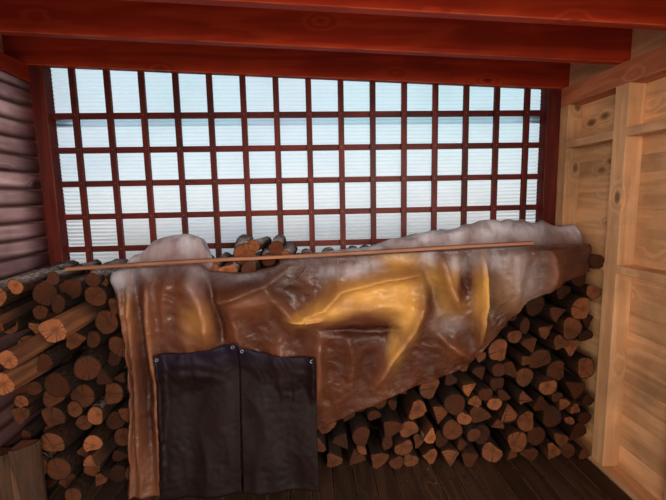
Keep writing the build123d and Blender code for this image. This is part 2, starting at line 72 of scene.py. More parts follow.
def rafter_foot(x):
    """Height of the underside of the rafters at x."""
    return RAFTER_HIGH.z - RAFTER_DEPTH - ROOF_DROP * (x - RAFTER_LOW.x)


def stack_top(x):
    """Height of the finished stack of logs at x."""
    return STACK_AT_LEFT + STACK_RISE * (x - LEFT_FACE)


print("deck at", round(DECK, 3), "left wall at", round(LEFT_FACE, 3))

# %% [markdown]
# ## The camera
# The picture is taken from just outside the open front, at standing eye height, with a wide
# lens. The camera looks slightly down and to the right, and leans over by about one degree.

# %% Camera
EYE = Vector((-0.0665, -1.5015, 1.718))
YAW, PITCH, ROLL = (radians(angle) for angle in (3.513, -7.24, -1.129))
forward = Vector(
    (sin(YAW) * cos(PITCH), cos(YAW) * cos(PITCH), sin(PITCH))
)
level = Vector((cos(YAW), -sin(YAW), 0))
upward = level.cross(forward)
right = cos(ROLL) * level + sin(ROLL) * upward
top = cos(ROLL) * upward - sin(ROLL) * level
camera_data = bpy.data.cameras.new("eye")
camera_data.lens = 21.597
camera_data.sensor_width = 36
camera_data.clip_start = 0.02
camera = bpy.data.objects.new("eye", camera_data)
scene.collection.objects.link(camera)
turned = Matrix((right, top, -forward)).transposed().to_4x4()
camera.matrix_world = Matrix.Translation(EYE) @ turned
scene.camera = camera
print("camera at", tuple(round(v, 3) for v in EYE))

# %% [markdown]
# ## Short ways to add nodes
# Every finish is a node tree, so a few short words for nodes save many lines. A wire is another
# node's output. It knows its tree, so a sum of wires needs no word about where it goes.

# %% Nodes and wires
FAMILIES = ("ShaderNode", "GeometryNode", "FunctionNode", "")


def join(value, socket):
    """Gives an input a value or a wire."""
    if isinstance(value, bpy.types.NodeSocket):
        socket.id_data.links.new(value, socket)
    elif socket.type == "RGBA" and len(value) == 3:
        socket.default_value = (*value, 1)
    else:
        socket.default_value = value


def feed(inputs, wires):
    """Gives several inputs their values or wires, by name or number."""
    for key, value in wires.items():
        join(value, inputs[key])


def node(tree, kind, wires=None, **settings):
    """Adds a node. kind is its type without the name of its family."""
    family = next(word for word in FAMILIES if hasattr(bpy.types, word + kind))
    made = tree.nodes.new(family + kind)
    for key, value in settings.items():
        setattr(made, key, value)
    feed(made.inputs, wires or {})
    return made


def tree_of(values):
    """The tree of the first wire among some values."""
    return next(value.id_data for value in values if isinstance(value, bpy.types.NodeSocket))


def after(kind, values, **settings):
    """Adds a node that takes these values in order."""
    return node(tree_of(values), kind, dict(enumerate(values)), **settings)


print("a node is looked up as:", [word + "Math" for word in FAMILIES])

# %% Sums, colours and patterns
def maths(operation, *values, clamp=False):
    """One sum on numbers or wires."""
    return after("Math", values, operation=operation, use_clamp=clamp).outputs[0]


def plus(a, b):
    """The sum of a and b."""
    return maths("ADD", a, b)


def less(a, b):
    """What is left of a without b."""
    return maths("SUBTRACT", a, b)


def times(a, b, clamp=False):
    """The product of a and b."""
    return maths("MULTIPLY", a, b, clamp=clamp)


def vectors(operation, *values):
    """One sum on vectors."""
    return after("VectorMath", values, operation=operation).outputs[0]


def scaled(vector, factor):
    """A vector or a colour times a number."""
    wires = {0: vector, "Scale": factor}
    tree = tree_of((vector, factor))
    return node(tree, "VectorMath", wires, operation="SCALE").outputs[0]


def length(vector):
    """The length of a vector."""
    return after("VectorMath", (vector,), operation="LENGTH").outputs["Value"]


def axes(vector):
    """The three numbers of a vector."""
    return after("SeparateXYZ", (vector,)).outputs


def spread(value, low, high, to_low=0.0, to_high=1.0):
    """Stretches the part of a value between low and high over a new range."""
    values = (value, low, high, to_low, to_high)
    return after("MapRange", values, interpolation_type="SMOOTHSTEP").outputs[0]


def blend(share, a, b, kind="MIX"):
    """A colour between a and b."""
    wires = {0: share, 6: a, 7: b}
    tree = tree_of((share, a, b))
    return node(tree, "Mix", wires, data_type="RGBA", blend_type=kind).outputs[2]


def clouds(place, scale, detail=2.0, output=0, **more):
    """Soft noise over a place."""
    wires = {"Vector": place, "Scale": scale, "Detail": detail, **more}
    return node(place.id_data, "TexNoise", wires).outputs[output]


def cells(place, scale, **settings):
    """The outputs of a cell pattern over a place."""
    wires = {"Vector": place, "Scale": scale}
    return node(place.id_data, "TexVoronoi", wires, **settings).outputs


def mark(wire, name, output="Fac"):
    """An attribute of the mesh, read in the tree of a wire."""
    return node(wire.id_data, "Attribute", attribute_name=name).outputs[output]


def bump(height, strength, distance):
    """A normal that follows a height."""
    wires = {"Height": height, "Strength": strength, "Distance": distance}
    return node(height.id_data, "Bump", wires).outputs[0]


print("helpers: maths, vectors, spread, blend, clouds, cells, mark, bump")

# %% [markdown]
# ## Floor and light
# A store with one open side is lit from that side, and through the translucent sheet at its
# back. Two wide soft lamps stand in front and one behind, and the sky does the rest. What the
# camera sees as background is a plain pale colour, which a Light Path node picks, so the lamps
# can stay low.

# %% World
SKY_LIGHT = ((0.97, 0.97, 1.0, 1), 0.5)
SKY_SEEN = ((0.93, 0.98, 1.0, 1), 1.15)
world = bpy.data.worlds.new("sky")
world.use_nodes = True
sky_tree = world.node_tree
sky_tree.nodes.clear()
path = node(sky_tree, "LightPath").outputs
seen = maths("MAXIMUM", path["Is Camera Ray"], path["Is Transmission Ray"])
seen = maths("MAXIMUM", seen, path["Is Glossy Ray"])
skies = [
    node(sky_tree, "Background", {0: tint, 1: level}).outputs[0]
    for tint, level in (SKY_LIGHT, SKY_SEEN)
]
both = after("MixShader", (seen, *skies)).outputs[0]
after("OutputWorld", (both,))
scene.world = world
print("world:", world.name)

# %% Lamps
LAMP_SPREAD = radians(110)
LAMPS = (
    ("front_lamp", (2.8, -7.2, 2.9), (-0.2, 0.4, 1.2), (3.8, 2.4), 190, (1.0, 0.88, 0.76)),
    ("side_lamp", (-3.4, -5.6, 2.4), (1.5, -0.1, 1.4), (2.2, 2.0), 82, (1.0, 0.8, 0.6)),
    ("back_lamp", (-2.5, 6.0, 4.5), (0.0, 0.4, 1.4), (5.0, 3.0), 110, (1.0, 0.97, 0.94)),
)
for name, place, target, size, watts, tint in LAMPS:
    data = bpy.data.lights.new(name, "AREA")
    data.shape = "RECTANGLE"
    data.size, data.size_y = size
    data.energy = watts
    data.color = tint
    data.spread = LAMP_SPREAD
    made = bpy.data.objects.new(name, data)
    made.location = place
    made.rotation_euler = (Vector(target) - Vector(place)).to_track_quat("-Z", "Y").to_euler()
    made.visible_transmission = False
    made.visible_glossy = name == "front_lamp"
    scene.collection.objects.link(made)
scene.view_settings.view_transform = "Standard"

# %% The pale floor
FLOOR_HALF = 30
floor_mesh = bpy.data.meshes.new("pale_floor")
corners = [(x * FLOOR_HALF, y * FLOOR_HALF, 0) for x, y in ((-1, -1), (1, -1), (1, 1), (-1, 1))]
floor_mesh.from_pydata(corners, [], [(0, 1, 2, 3)])
pale_floor = bpy.data.objects.new("pale_floor", floor_mesh)
scene.collection.objects.link(pale_floor)
floor_paint = bpy.data.materials.new("floor_paint")
floor_paint.use_nodes = True
paint = floor_paint.node_tree.nodes["Principled BSDF"].inputs
feed(paint, {"Base Color": (0.72, 0.72, 0.71), "Roughness": 0.9})
floor_mesh.materials.append(floor_paint)
print("floor laid")

# %% [markdown]
# ## Wood grain as a shared group
# Nearly everything here is softwood. Its grain is long in one direction, so the pattern is
# stretched along the board before the noise is read. A knot is a small dark spot that the grain
# flows round. One group makes all this from a few numbers, and every timber finish uses it
# with its own colours. The number called tone differs from board to board, so no two match.

# %% Group helpers


def group(name, inputs, outputs, kind="ShaderNodeTree"):
    """A new node group. A row of sockets says what they hold, then a colon and their names."""
    tree = bpy.data.node_groups.new(name, kind)
    for way, rows in (("INPUT", inputs), ("OUTPUT", outputs)):
        for row in rows:
            holds, labels = row.split(": ")
            for label in labels.split(", "):
                tree.interface.new_socket(label, in_out=way, socket_type="NodeSocket" + holds)
    return node(tree, "NodeGroupInput").outputs, node(tree, "NodeGroupOutput").inputs


def use(name, wires):
    """The outputs of one use of a shader group."""
    tree = tree_of(wires.values())
    return node(tree, "Group", wires, node_tree=bpy.data.node_groups[name]).outputs


print("helpers: group, use")

# %% The timber grain group
TONE_APART = (37.0, 53.0, 71.0)
HALF = (0.5, 0.5, 0.5)
sockets = (
    "Vector: Place, Along",
    "Color: Pale Colour, Dark Colour, Knot Colour",
    "Float: Tone, Knots, Variation",
)
given, made = group("Timber grain", sockets, ("Color: Colour", "Float: Height"))
moved = vectors("ADD", given["Place"], scaled(TONE_APART, given["Tone"]))
long_way = vectors("MULTIPLY", moved, given["Along"])
less_long = vectors("MULTIPLY_ADD", given["Along"], HALF, HALF)
off_knot = cells(vectors("MULTIPLY", moved, less_long), 5.2)["Distance"]
knot = spread(off_knot, 0.06, 0.15, 1.0, 0.0)
round_knot = spread(off_knot, 0.08, 0.30, 1.0, 0.0)
bent = maths("MULTIPLY_ADD", round_knot, 0.2, clouds(long_way, 5.0, 4.0))
lines = spread(maths("SINE", times(bent, 46.0)), -0.6, 1.0)
fibre = clouds(long_way, 62.0, 3.0, Roughness=0.6)
grain = plus(times(lines, 0.55), times(fibre, 0.5))
base = blend(grain, given["Dark Colour"], given["Pale Colour"])
board = plus(times(less(given["Tone"], 0.5), given["Variation"]), 1.0)
board = times(board, spread(clouds(moved, 2.3, 3.0), 0.3, 0.7, 0.8, 1.12))
spots = times(times(knot, given["Knots"]), 0.85)
join(blend(spots, scaled(base, board), given["Knot Colour"]), made["Colour"])
join(plus(grain, times(knot, 0.3)), made["Height"])
print("group made: Timber grain")

# %% [markdown]
# ## Worn corners, grime and painted heap shade
# Stain rubs off the corners of a board first, and dirt gathers near the floor. A second group
# lays a paler colour on the corners, which the mesh marks with the attribute called edge, and
# a third darkens a finish with soft patches of dirt. A fourth is for the firewood: it paints
# shade, nearly black, on what lies deep in the heap, behind its face and below its top.

# %% Corner wear, grime and heap shade groups
sockets = ("Color: Colour, Worn Colour", "Vector: Place", "Float: Amount")
given, made = group("Corner wear", sockets, ("Color: Colour",))
patchy = spread(clouds(given["Place"], 9.0, 4.0), 0.32, 0.6)
worn = times(times(mark(patchy, "edge"), patchy), given["Amount"], clamp=True)
join(blend(worn, given["Colour"], given["Worn Colour"]), made["Colour"])

sockets = ("Color: Colour", "Vector: Place", "Float: Scale, Amount")
given, made = group("Grime", sockets, ("Color: Colour", "Float: Mask"))
cloud = clouds(given["Place"], given["Scale"], 6.0, Roughness=0.65)
mask = times(spread(cloud, 0.42, 0.72), given["Amount"], clamp=True)
join(blend(mask, given["Colour"], (0.03, 0.025, 0.02)), made["Colour"])
join(mask, made["Mask"])

sockets = ("Color: Colour", "Vector: Place", "Float: Face, Top, Slope, Amount")
given, made = group("Heap shade", sockets, ("Color: Colour",))
x, y, z = axes(given["Place"])
behind = spread(less(y, given["Face"]), -0.11, 0.05)
below = spread(less(plus(given["Top"], times(x, given["Slope"])), z), 0.0, 0.15)
shade = times(times(behind, below), given["Amount"])
join(blend(shade, given["Colour"], (0.006, 0.003, 0.002)), made["Colour"])
print("groups:", [g.name for g in bpy.data.node_groups])

# %% Finish helpers


def finish_named(name):
    """A new material, the inputs of its Principled shader, and object coordinates."""
    material = bpy.data.materials.new(name)
    material.use_nodes = True
    tree = material.node_tree
    return material, tree.nodes["Principled BSDF"].inputs, node(tree, "TexCoord").outputs["Object"]


def grimy(colour, place, scale, amount):
    """A colour with soft dirt on it, and the mask of the dirt."""
    return use("Grime", {"Colour": colour, "Place": place, "Scale": scale, "Amount": amount})


def heaped(colour, place, amount):
    """A firewood colour with painted shade, nearly black, deep inside the heap."""
    wires = {"Colour": colour, "Place": place, "Face": STACK_FACE, "Amount": amount}
    wires.update({"Top": stack_top(0.0), "Slope": STACK_RISE})
    return use("Heap shade", wires)["Colour"]


ALONG = {"x": (0.09, 1.0, 1.0), "y": (1.0, 0.09, 1.0), "z": (1.0, 1.0, 0.09)}


def timber(
    name, way, pale, dark, knot, worn, rough,
    knots=1.0, variation=0.35, wear=0.7, grime=0.3, gloss=0.3, relief=0.35,
):
    """A timber finish with its grain along one axis."""
    material, shader, place = finish_named(name)
    wires = {"Place": place, "Along": ALONG[way], "Tone": mark(place, "tone")}
    wires.update({"Pale Colour": pale, "Dark Colour": dark, "Knot Colour": knot})
    wires.update({"Knots": knots, "Variation": variation})
    grain = use("Timber grain", wires)
    wires = {"Colour": grain["Colour"], "Worn Colour": worn, "Place": place}
    corners = use("Corner wear", {**wires, "Amount": wear})
    dirt = grimy(corners["Colour"], place, 2.6, grime)
    wires = {"Base Color": dirt["Colour"], "Specular IOR Level": gloss}
    wires["Roughness"] = maths("MULTIPLY_ADD", dirt["Mask"], 0.35, rough)
    wires["Normal"] = bump(grain["Height"], relief, 0.0012)
    feed(shader, wires)
    return material


print("grain can run along", list(ALONG))

# %% [markdown]
# ## Timber finishes
# The store is stained red-brown, the left wall has weathered to a greyish pink, and the timbers
# on the right are bare. Where the stain has gone from a corner, pale wood shows. A letter in
# the name of a finish is the axis along which its grain runs.

# %% Timber finishes
BARE_WOOD = (0.62, 0.36, 0.2)
STAIN_KNOT = (0.035, 0.008, 0.005)
# The red-brown stain comes in lit and shaded copies. stained, used inside, is painted lighter
# against the shade of the room; outside_stain is the darker copy for the outside; lattice, which
# stands against the light at the back, has painted shade and is darker still. weathered_cladding,
# inside, is likewise painted lighter than outside_cladding, over its own greyish pink.
STAINS = (
    ("stained", "xy", (0.47, 0.046, 0.013), (0.29, 0.020, 0.007), STAIN_KNOT,
     (0.60, 0.15, 0.05), 0.5, {"grime": 0.12, "wear": 0.5, "gloss": 0.16}),
    ("outside_stain", "xyz", (0.30, 0.035, 0.013), (0.16, 0.015, 0.007), STAIN_KNOT,
     (0.42, 0.12, 0.05), 0.6, {"grime": 0.3, "wear": 0.5, "gloss": 0.16}),
    ("lattice", "xz", (0.145, 0.017, 0.010), (0.07, 0.008, 0.006), STAIN_KNOT,
     (0.3, 0.07, 0.03), 0.5, {"grime": 0.25, "wear": 0.5, "gloss": 0.25}),
    ("plain", "yz", (0.88, 0.53, 0.29), (0.66, 0.36, 0.18), (0.16, 0.08, 0.035),
     BARE_WOOD, 0.6, {}),
    ("ruddy", "y", (0.72, 0.25, 0.12), (0.45, 0.13, 0.06), (0.16, 0.05, 0.03),
     BARE_WOOD, 0.6, {"grime": 0.2}),
    ("treated", "xy", (0.36, 0.33, 0.22), (0.22, 0.2, 0.13), (0.1, 0.08, 0.05),
     BARE_WOOD, 0.75, {}),
    ("deck_stain", "y", (0.075, 0.036, 0.021), (0.032, 0.015, 0.009), (0.03, 0.015, 0.01),
     (0.14, 0.08, 0.05), 0.6, {"variation": 0.6, "grime": 0.4, "gloss": 0.14}),
    ("lath_wood", "x", (0.50, 0.22, 0.12), (0.30, 0.12, 0.06), (0.15, 0.05, 0.02),
     (0.6, 0.34, 0.2), 0.6, {}),
    ("weathered_cladding", "y", (0.95, 0.69, 0.73), (0.58, 0.33, 0.35), (0.10, 0.04, 0.035),
     (0.7, 0.5, 0.48), 0.5, {"variation": 0.6, "grime": 0.4, "gloss": 0.4, "relief": 0.6}),
    ("outside_cladding", "y", (0.56, 0.33, 0.33), (0.34, 0.16, 0.16), (0.09, 0.035, 0.03),
     (0.5, 0.36, 0.32), 0.6, {"variation": 0.5, "grime": 0.35, "gloss": 0.2}),
)
WOOD = {}
for name, ways, *colours, more in STAINS:
    for way in ways:
        WOOD[name, way] = timber(name + "_" + way, way, *colours, **more)
print("finishes:", len(bpy.data.materials))

# %% Painted shade on the half-log boards
CLAD_PITCH = 0.0943


def shade_boards(material, low_shade):
    """Paints shade on a board finish: in its grooves, on the lower part of each board, and towards
    the ground.
    """
    shader = material.node_tree.nodes["Principled BSDF"].inputs
    base = shader["Base Color"].links[0].from_socket
    # Painted shade: the grooves and the lower side of each board are darkened, as if lit from
    # above.
    across = maths("DIVIDE", axes(mark(base, "local", "Vector"))[2], CLAD_PITCH)
    lower = spread(across, 0.03, 0.42, 1.0, 0.0)
    upper = spread(across, 0.84, 0.99, 0.0, 0.9)
    groove = times(maths("MAXIMUM", lower, upper), 0.9)
    height = axes(node(base.id_data, "TexCoord").outputs["Object"])[2]
    base = blend(groove, base, (0.055, 0.009, 0.008))
    # Painted shade that grows towards the ground, between 1.95 m and 0.85 m up.
    base = blend(spread(height, 0.85, 1.95, low_shade, 0.0), base, (0.05, 0.013, 0.009))
    join(base, shader["Base Color"])


shade_boards(WOOD["weathered_cladding", "y"], 0.9)
shade_boards(WOOD["outside_cladding", "y"], 0.35)
print("boards shaded")

# %% [markdown]
# ## Easing the corners
# Sawn timber never has razor corners, and a soft corner is what catches the light. A copy of
# each solid is welded into one clean mesh, its sharp edges are bevelled, and the new narrow
# faces are marked with the attribute edge. Each separate board gets a tone of its own.

# %% Dressing helpers
SHARP = 0.5


def show(name, mesh, finishes, slot, *stands_for):
    """Puts a finished mesh in the scene as a piece that rides on the building."""
    for finish in finishes:
        mesh.materials.append(finish)
    made = bpy.data.objects.new(name, mesh)
    scene.collection.objects.link(made)
    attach(made, "root")
    if stands_for:
        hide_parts(*stands_for)
    return made


def islands(mesh):
    """Lists of vertices, one for each separate solid of a bmesh."""
    seen, found = set(), []
    for start in mesh.verts:
        if start in seen:
            continue
        seen.add(start)
        queue, island = [start], []
        while queue:
            here = queue.pop()
            island.append(here)
            for edge in here.link_edges:
                other = edge.other_vert(here)
                if other not in seen:
                    seen.add(other)
                    queue.append(other)
        found.append(island)
    return found


def welded(name):
    """A clean bmesh copy of a solid, with its triangles joined into flat faces."""
    mesh = bmesh.new()
    mesh.from_mesh(nodes[name].data)
    bmesh.ops.remove_doubles(mesh, verts=mesh.verts, dist=1e-5)
    flat = radians(0.5)
    bmesh.ops.dissolve_limit(mesh, angle_limit=flat, verts=mesh.verts[:], edges=mesh.edges[:])
    return mesh


def eased(name, bevel, dice):
    """The solid with bevelled corners, marked, and a tone for each board."""
    mesh = welded(name)
    tone = mesh.verts.layers.float.new("tone")
    for board in islands(mesh):
        value = dice.random()
        for vertex in board:
            vertex[tone] = value
    edge_mark = mesh.faces.layers.float.new("edge")
    sharp = [e for e in mesh.edges if len(e.link_faces) == 2 and e.calc_face_angle() > SHARP]
    made = bmesh.ops.bevel(
        mesh, geom=sharp, offset=bevel, offset_type="OFFSET", segments=2, profile=0.6,
        affect="EDGES",
    )
    for face in made["faces"]:
        face[edge_mark] = 1.0
    result = bpy.data.meshes.new(name + "_timber")
    mesh.to_mesh(result)
    mesh.free()
    return result


print("corners are eased where they turn by more than", SHARP, "radians")

# %% Dress the squared timbers
SQUARED = (
    ("stained", "stained_timber", "rafters x 4, left_ledger y 3"),
    ("lattice", "stained_timber", "back_left_post z 3, back_right_post z 3"),
    ("outside_stain", "stained_timber", "back_sill x 3"),
    ("lattice", "stained_timber", "lattice_battens z 2, lattice_rails x 2"),
    ("outside_stain", "stained_timber", "back_fascia x 2.5, back_bottom_board x 2.5"),
    ("outside_stain", "stained_timber", "front_fascia x 2.5, eaves_fascia y 2.5"),
    ("outside_stain", "stained_timber", "left_verge_board y 2.5, left_corner_trims z 2.5"),
    ("outside_stain", "stained_timber", "right_corner_trims z 2.5"),
    ("plain", "plain_timber", "eaves_blocking y 2, left_sole_plate y 3, left_studs z 3"),
    ("plain", "plain_timber", "left_top_plate y 3, right_noggins y 3, right_posts z 3"),
    ("plain", "plain_timber", "right_sole_plate y 3"),
    ("ruddy", "plain_timber", "right_wall_plate y 3"),
    ("treated", "bearer_timber", "ground_bearers y 3, floor_joists x 3"),
    ("deck_stain", "deck_timber", "deck_boards y 1.5"),
    ("outside_stain", "deck_timber", "front_floor_board x 3"),
)
dice = random.Random(11)
dressed = 0
for stain, slot, timbers in SQUARED:
    for words in timbers.split(", "):
        name, way, millimetres = words.split()
        mesh = eased(name, float(millimetres) / 1000, dice)
        show(name + "_dressed", mesh, [WOOD[stain, way]], slot, name)
        dressed += 1
print("squared timbers dressed:", dressed)

# %% [markdown]
# ## Setting things out with Geometry Nodes
# Boards, logs, nails and roof boards all repeat. One tree sets out a pattern piece at a cloud
# of points: each point carries its own size, turn, tone and shape number. The tree then makes
# every copy real, lets a slow noise push it a little out of true, and gives it its finishes.

# %% Helpers for geometry trees


def named(wire, kind, name):
    """Reads an attribute in the geometry tree of a wire."""
    made = node(wire.id_data, "InputNamedAttribute", {0: name}, data_type=kind)
    return made.outputs[0]


def grown(points, tree, values):
    """Runs a geometry tree on a mesh and returns the result as a plain mesh."""
    carrier = bpy.data.objects.new("carrier", points)
    scene.collection.objects.link(carrier)
    modifier = carrier.modifiers.new("tree", "NODES")
    modifier.node_group = tree
    for item in tree.interface.items_tree:
        if item.item_type == "SOCKET" and item.in_out == "INPUT" and item.name in values:
            modifier[item.identifier] = values[item.name]
    graph = bpy.context.evaluated_depsgraph_get()
    mesh = bpy.data.meshes.new_from_object(
        carrier.evaluated_get(graph), preserve_all_data_layers=True, depsgraph=graph
    )
    carrier.modifiers.remove(modifier)
    bpy.data.objects.remove(carrier)
    return mesh


print("helpers: named, grown")

# %% The setting-out tree
FINISH_OF_PART = ("Outer finish", "End finish", "Split finish")
sockets = (
    "Geometry: Points",
    "Collection: Shapes",
    "Float: Out of true, Noise size, Seed",
    "Material: " + ", ".join(FINISH_OF_PART),
)
given, made = group("Set out", sockets, ("Geometry: Mesh",), "GeometryNodeTree")
points = given["Points"]
SET_OUT = points.id_data
shapes = node(SET_OUT, "CollectionInfo", {0: given["Shapes"], "Separate Children": True})
wires = {"Points": points, "Instance": shapes.outputs[0], "Pick Instance": True}
wires["Instance Index"] = named(points, "INT", "shape")
wires["Rotation"] = named(points, "FLOAT_VECTOR", "turn")
wires["Scale"] = named(points, "FLOAT_VECTOR", "size")
placed = node(SET_OUT, "InstanceOnPoints", wires).outputs[0]
real = after("RealizeInstances", (placed,)).outputs[0]
apart = scaled((19.0, 31.0, 47.0), named(points, "FLOAT", "tone"))
spot = vectors("ADD", node(SET_OUT, "InputPosition").outputs[0], apart)
wires = {"Vector": spot, "W": given["Seed"], "Scale": given["Noise size"], "Detail": 2.0}
ripple = node(SET_OUT, "TexNoise", wires, noise_dimensions="4D").outputs["Color"]
push = scaled(vectors("SUBTRACT", ripple, HALF), given["Out of true"])
last = node(SET_OUT, "SetPosition", {"Geometry": real, "Offset": push}).outputs[0]
for number, label in enumerate(FINISH_OF_PART):
    wires = {2: named(points, "INT", "part"), 3: number}
    same = node(SET_OUT, "Compare", wires, data_type="INT", operation="EQUAL").outputs[0]
    wires = {"Geometry": last, "Selection": same, "Material": given[label]}
    last = node(SET_OUT, "SetMaterial", wires).outputs[0]
join(last, made[0])
print("geometry tree made:", SET_OUT.name)

# %% Points and patterns
POINT_PLANS = (
    ("size", "FLOAT_VECTOR", "vector", (1, 1, 1)),
    ("turn", "FLOAT_VECTOR", "vector", (0, 0, 0)),
    ("tone", "FLOAT", "value", 0.5),
    ("shape", "INT", "value", 0),
)


def scattered(name, rows, folder, finishes, out_of_true=0.0, noise_size=3.0, seed=0.0):
    """Sets out the shapes of a folder. Each row has a place, and may have all that is planned."""
    points = bpy.data.meshes.new(name)
    points.from_pydata([row["at"] for row in rows], [], [])
    for label, kind, field, default in POINT_PLANS:
        layer = points.attributes.new(label, kind, "POINT")
        for number, row in enumerate(rows):
            setattr(layer.data[number], field, row.get(label, default))
    values = {"Shapes": folder, "Out of true": out_of_true}
    values.update({"Noise size": noise_size, "Seed": seed})
    values.update({label: one for label, one in zip(FINISH_OF_PART, finishes) if one})
    return grown(points, SET_OUT, values)


def outward(mesh, *sources):
    """Fills a mesh from its sources, or from itself, with every face turned outwards."""
    shaped = bmesh.new()
    for source in sources or (mesh,):
        shaped.from_mesh(source)
    bmesh.ops.recalc_face_normals(shaped, faces=shaped.faces)
    shaped.to_mesh(mesh)
    shaped.free()


def solid_mesh(name, verts, faces):
    """A closed mesh with its faces turned outwards."""
    mesh = bpy.data.meshes.new(name)
    mesh.from_pydata(verts, [], faces)
    outward(mesh)
    return mesh


def pattern(folder, name, verts, faces, parts=None, local=None, smooth=()):
    """A pattern piece. parts gives each face's finish, local each vertex's place on the piece."""
    mesh = solid_mesh(name, verts, faces)
    part_of = mesh.attributes.new("part", "INT", "FACE")
    part_of.data.foreach_set("value", parts or [0] * len(faces))
    place_of = mesh.attributes.new("local", "FLOAT_VECTOR", "POINT")
    place_of.data.foreach_set("vector", [v for point in local or verts for v in point])
    for number, polygon in enumerate(mesh.polygons):
        polygon.use_smooth = number in smooth
    folder.objects.link(bpy.data.objects.new(name, mesh))
    return mesh


def tube(rings, closed=False):
    """A skin over rings of points. It joins up with its start, or else its two ends are capped."""
    count = len(rings[0])
    verts = [point for ring in rings for point in ring]
    faces = []
    for k in range(len(rings) - 1 + closed):
        a, b = k * count, (k + 1) % len(rings) * count
        faces += [
            (a + i, a + (i + 1) % count, b + (i + 1) % count, b + i) for i in range(count)
        ]
    if not closed:
        last = reversed(range(len(verts) - count, len(verts)))
        faces += [tuple(range(count)), tuple(last)]
    return verts, faces


print("each point carries:", [plan[0] for plan in POINT_PLANS])

# %% [markdown]
# ## Half-log cladding
# The side walls are half-log boards, rounded outwards like a stack of thin logs, with a dark
# groove between each two. A single board is drawn once, with its round face and its flat back,
# and set out up the wall. Real boards are never dead straight, so each bows by a millimetre.

# %% Cladding board pattern
CLAD_THICK = 0.028
CLAD_LIP = 0.015
CLAD_TONGUE = 0.0015
CLAD_EASE = 0.001
ROUND_FOOT, ROUND_HEIGHT = 0.003, 0.0883
CLAD_ARC = 11
CLAD_RUN = 10
CLAD_SLIVER = 0.004


def clad_board(folder, name, length):
    """A board one pitch high, its flat back at x = 0, its foot at z = 0, centred on y = 0."""
    top = CLAD_PITCH + CLAD_TONGUE
    inner = CLAD_LIP - CLAD_EASE
    section = [(0.0, -CLAD_TONGUE), (inner, -CLAD_TONGUE), (CLAD_LIP, CLAD_EASE)]
    for i in range(CLAD_ARC + 1):
        angle = pi * i / CLAD_ARC
        bulge = sin(angle) ** 0.75
        height = 0.5 - 0.5 * cos(angle) * (1 - 0.1 * sin(angle))
        out = CLAD_LIP + (CLAD_THICK - CLAD_LIP) * bulge
        section.append((out, ROUND_FOOT + ROUND_HEIGHT * height))
    section += [(CLAD_LIP, CLAD_PITCH - CLAD_EASE), (inner, top), (0.0, top)]
    stations = [length * (k / CLAD_RUN - 0.5) for k in range(CLAD_RUN + 1)]
    verts, faces = tube([[(x, y, z) for x, z in section] for y in stations])
    count = len(section)
    sides = range(len(faces) - 2)
    smooth = {number for number in sides if number % count in range(4, count - 5)}
    parts = [int(number % count == count - 1) for number in sides] + [0, 0]
    pattern(folder, name, verts, faces, parts=parts, smooth=smooth)


def clad_wall(name, node_name, outward_side, first_groove, finish, dice):
    """Sets boards out from foot to head, each board from groove to groove."""
    low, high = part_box(node_name)
    folder = bpy.data.collections.new(name + "_pattern")
    clad_board(folder, name + "_board", high.y - low.y)
    edges = [low.z]
    groove = first_groove
    while groove < high.z - CLAD_SLIVER:
        if groove > low.z + CLAD_SLIVER:
            edges.append(groove)
        groove += CLAD_PITCH
    edges.append(high.z)
    back_x = low.x if outward_side > 0 else high.x
    rows = []
    for foot, head in zip(edges[:-1], edges[1:]):
        size = (outward_side, 1.0, (head - foot) / CLAD_PITCH)
        at = (back_x, (low.y + high.y) / 2, foot)
        rows.append({"at": at, "size": size, "tone": dice.random()})
    finishes = (finish, WOOD["plain", "y"])
    mesh = scattered(name, rows, folder, finishes, out_of_true=0.0022, noise_size=1.7, seed=3.0)
    if outward_side < 0:
        mesh.flip_normals()
    show(name, mesh, [], "weathered_cladding", node_name)
    print(name, "boards:", len(rows))


# %% The three clad walls
INSIDE_FIRST = 0.036
WALLS = (
    ("left_wall_inside", "left_inner_cladding", 1.0, INSIDE_FIRST, "weathered_cladding"),
    ("left_wall_outside", "left_outer_cladding", -1.0, CLAD_PITCH, "outside_cladding"),
    ("right_wall_outside", "right_cladding", 1.0, CLAD_PITCH, "outside_cladding"),
)
for name, node_name, side, first, finish in WALLS:
    first_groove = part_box(node_name)[0].z + first
    clad_wall(name, node_name, side, first_groove, WOOD[finish, "y"], dice)

# %% [markdown]
# ## The stack of firewood
# The stack is hundreds of logs. Each solid in it is a few-sided prism, which says where a log
# lies, how thick it is, and whether it was split. The prisms are read back from their meshes,
# and each becomes a point for the setting-out tree. A handful of log shapes is enough, because
# each is turned, sized and pushed about by noise, and its finish is different.

# %% Outlines of log ends
LOG_SIDES = 14
SPLITS = (0, 60, 85)
CHUNKS = (
    ((10, 0.35), (140, 0.6)),
    ((0, 0.4), (95, 0.45), (215, 0.75)),
    ((0, 0.55), (125, 0.4), (235, 0.6)),
)
WEDGE = len(SPLITS)
POLE = WEDGE + 1
FIRST_CHUNK = POLE + 1
WEDGE_HALF = radians(52)
WEDGE_HEART = -0.8
WEDGE_ARC = 8
WEDGE_FLATS = ((0.33, 1), (0.66, 1), (1.0, 0), (0.66, -1), (0.33, -1), (0.12, -1))


def angles_of(count):
    """Angles set evenly round a circle."""
    return [TURN * i / count for i in range(count)]


def wedge_outline():
    """Points round a split wedge: a round of bark, and two flats that meet at its heart."""
    points = []
    edge_x, edge_z = cos(WEDGE_HALF), sin(WEDGE_HALF)
    for i in range(WEDGE_ARC):
        angle = WEDGE_HALF * (2 * i / (WEDGE_ARC - 1) - 1)
        points.append((cos(angle), sin(angle), i == WEDGE_ARC - 1))
    for share, side in WEDGE_FLATS:
        points.append((edge_x + (WEDGE_HEART - edge_x) * share, side * edge_z * (1 - share), True))
    return points


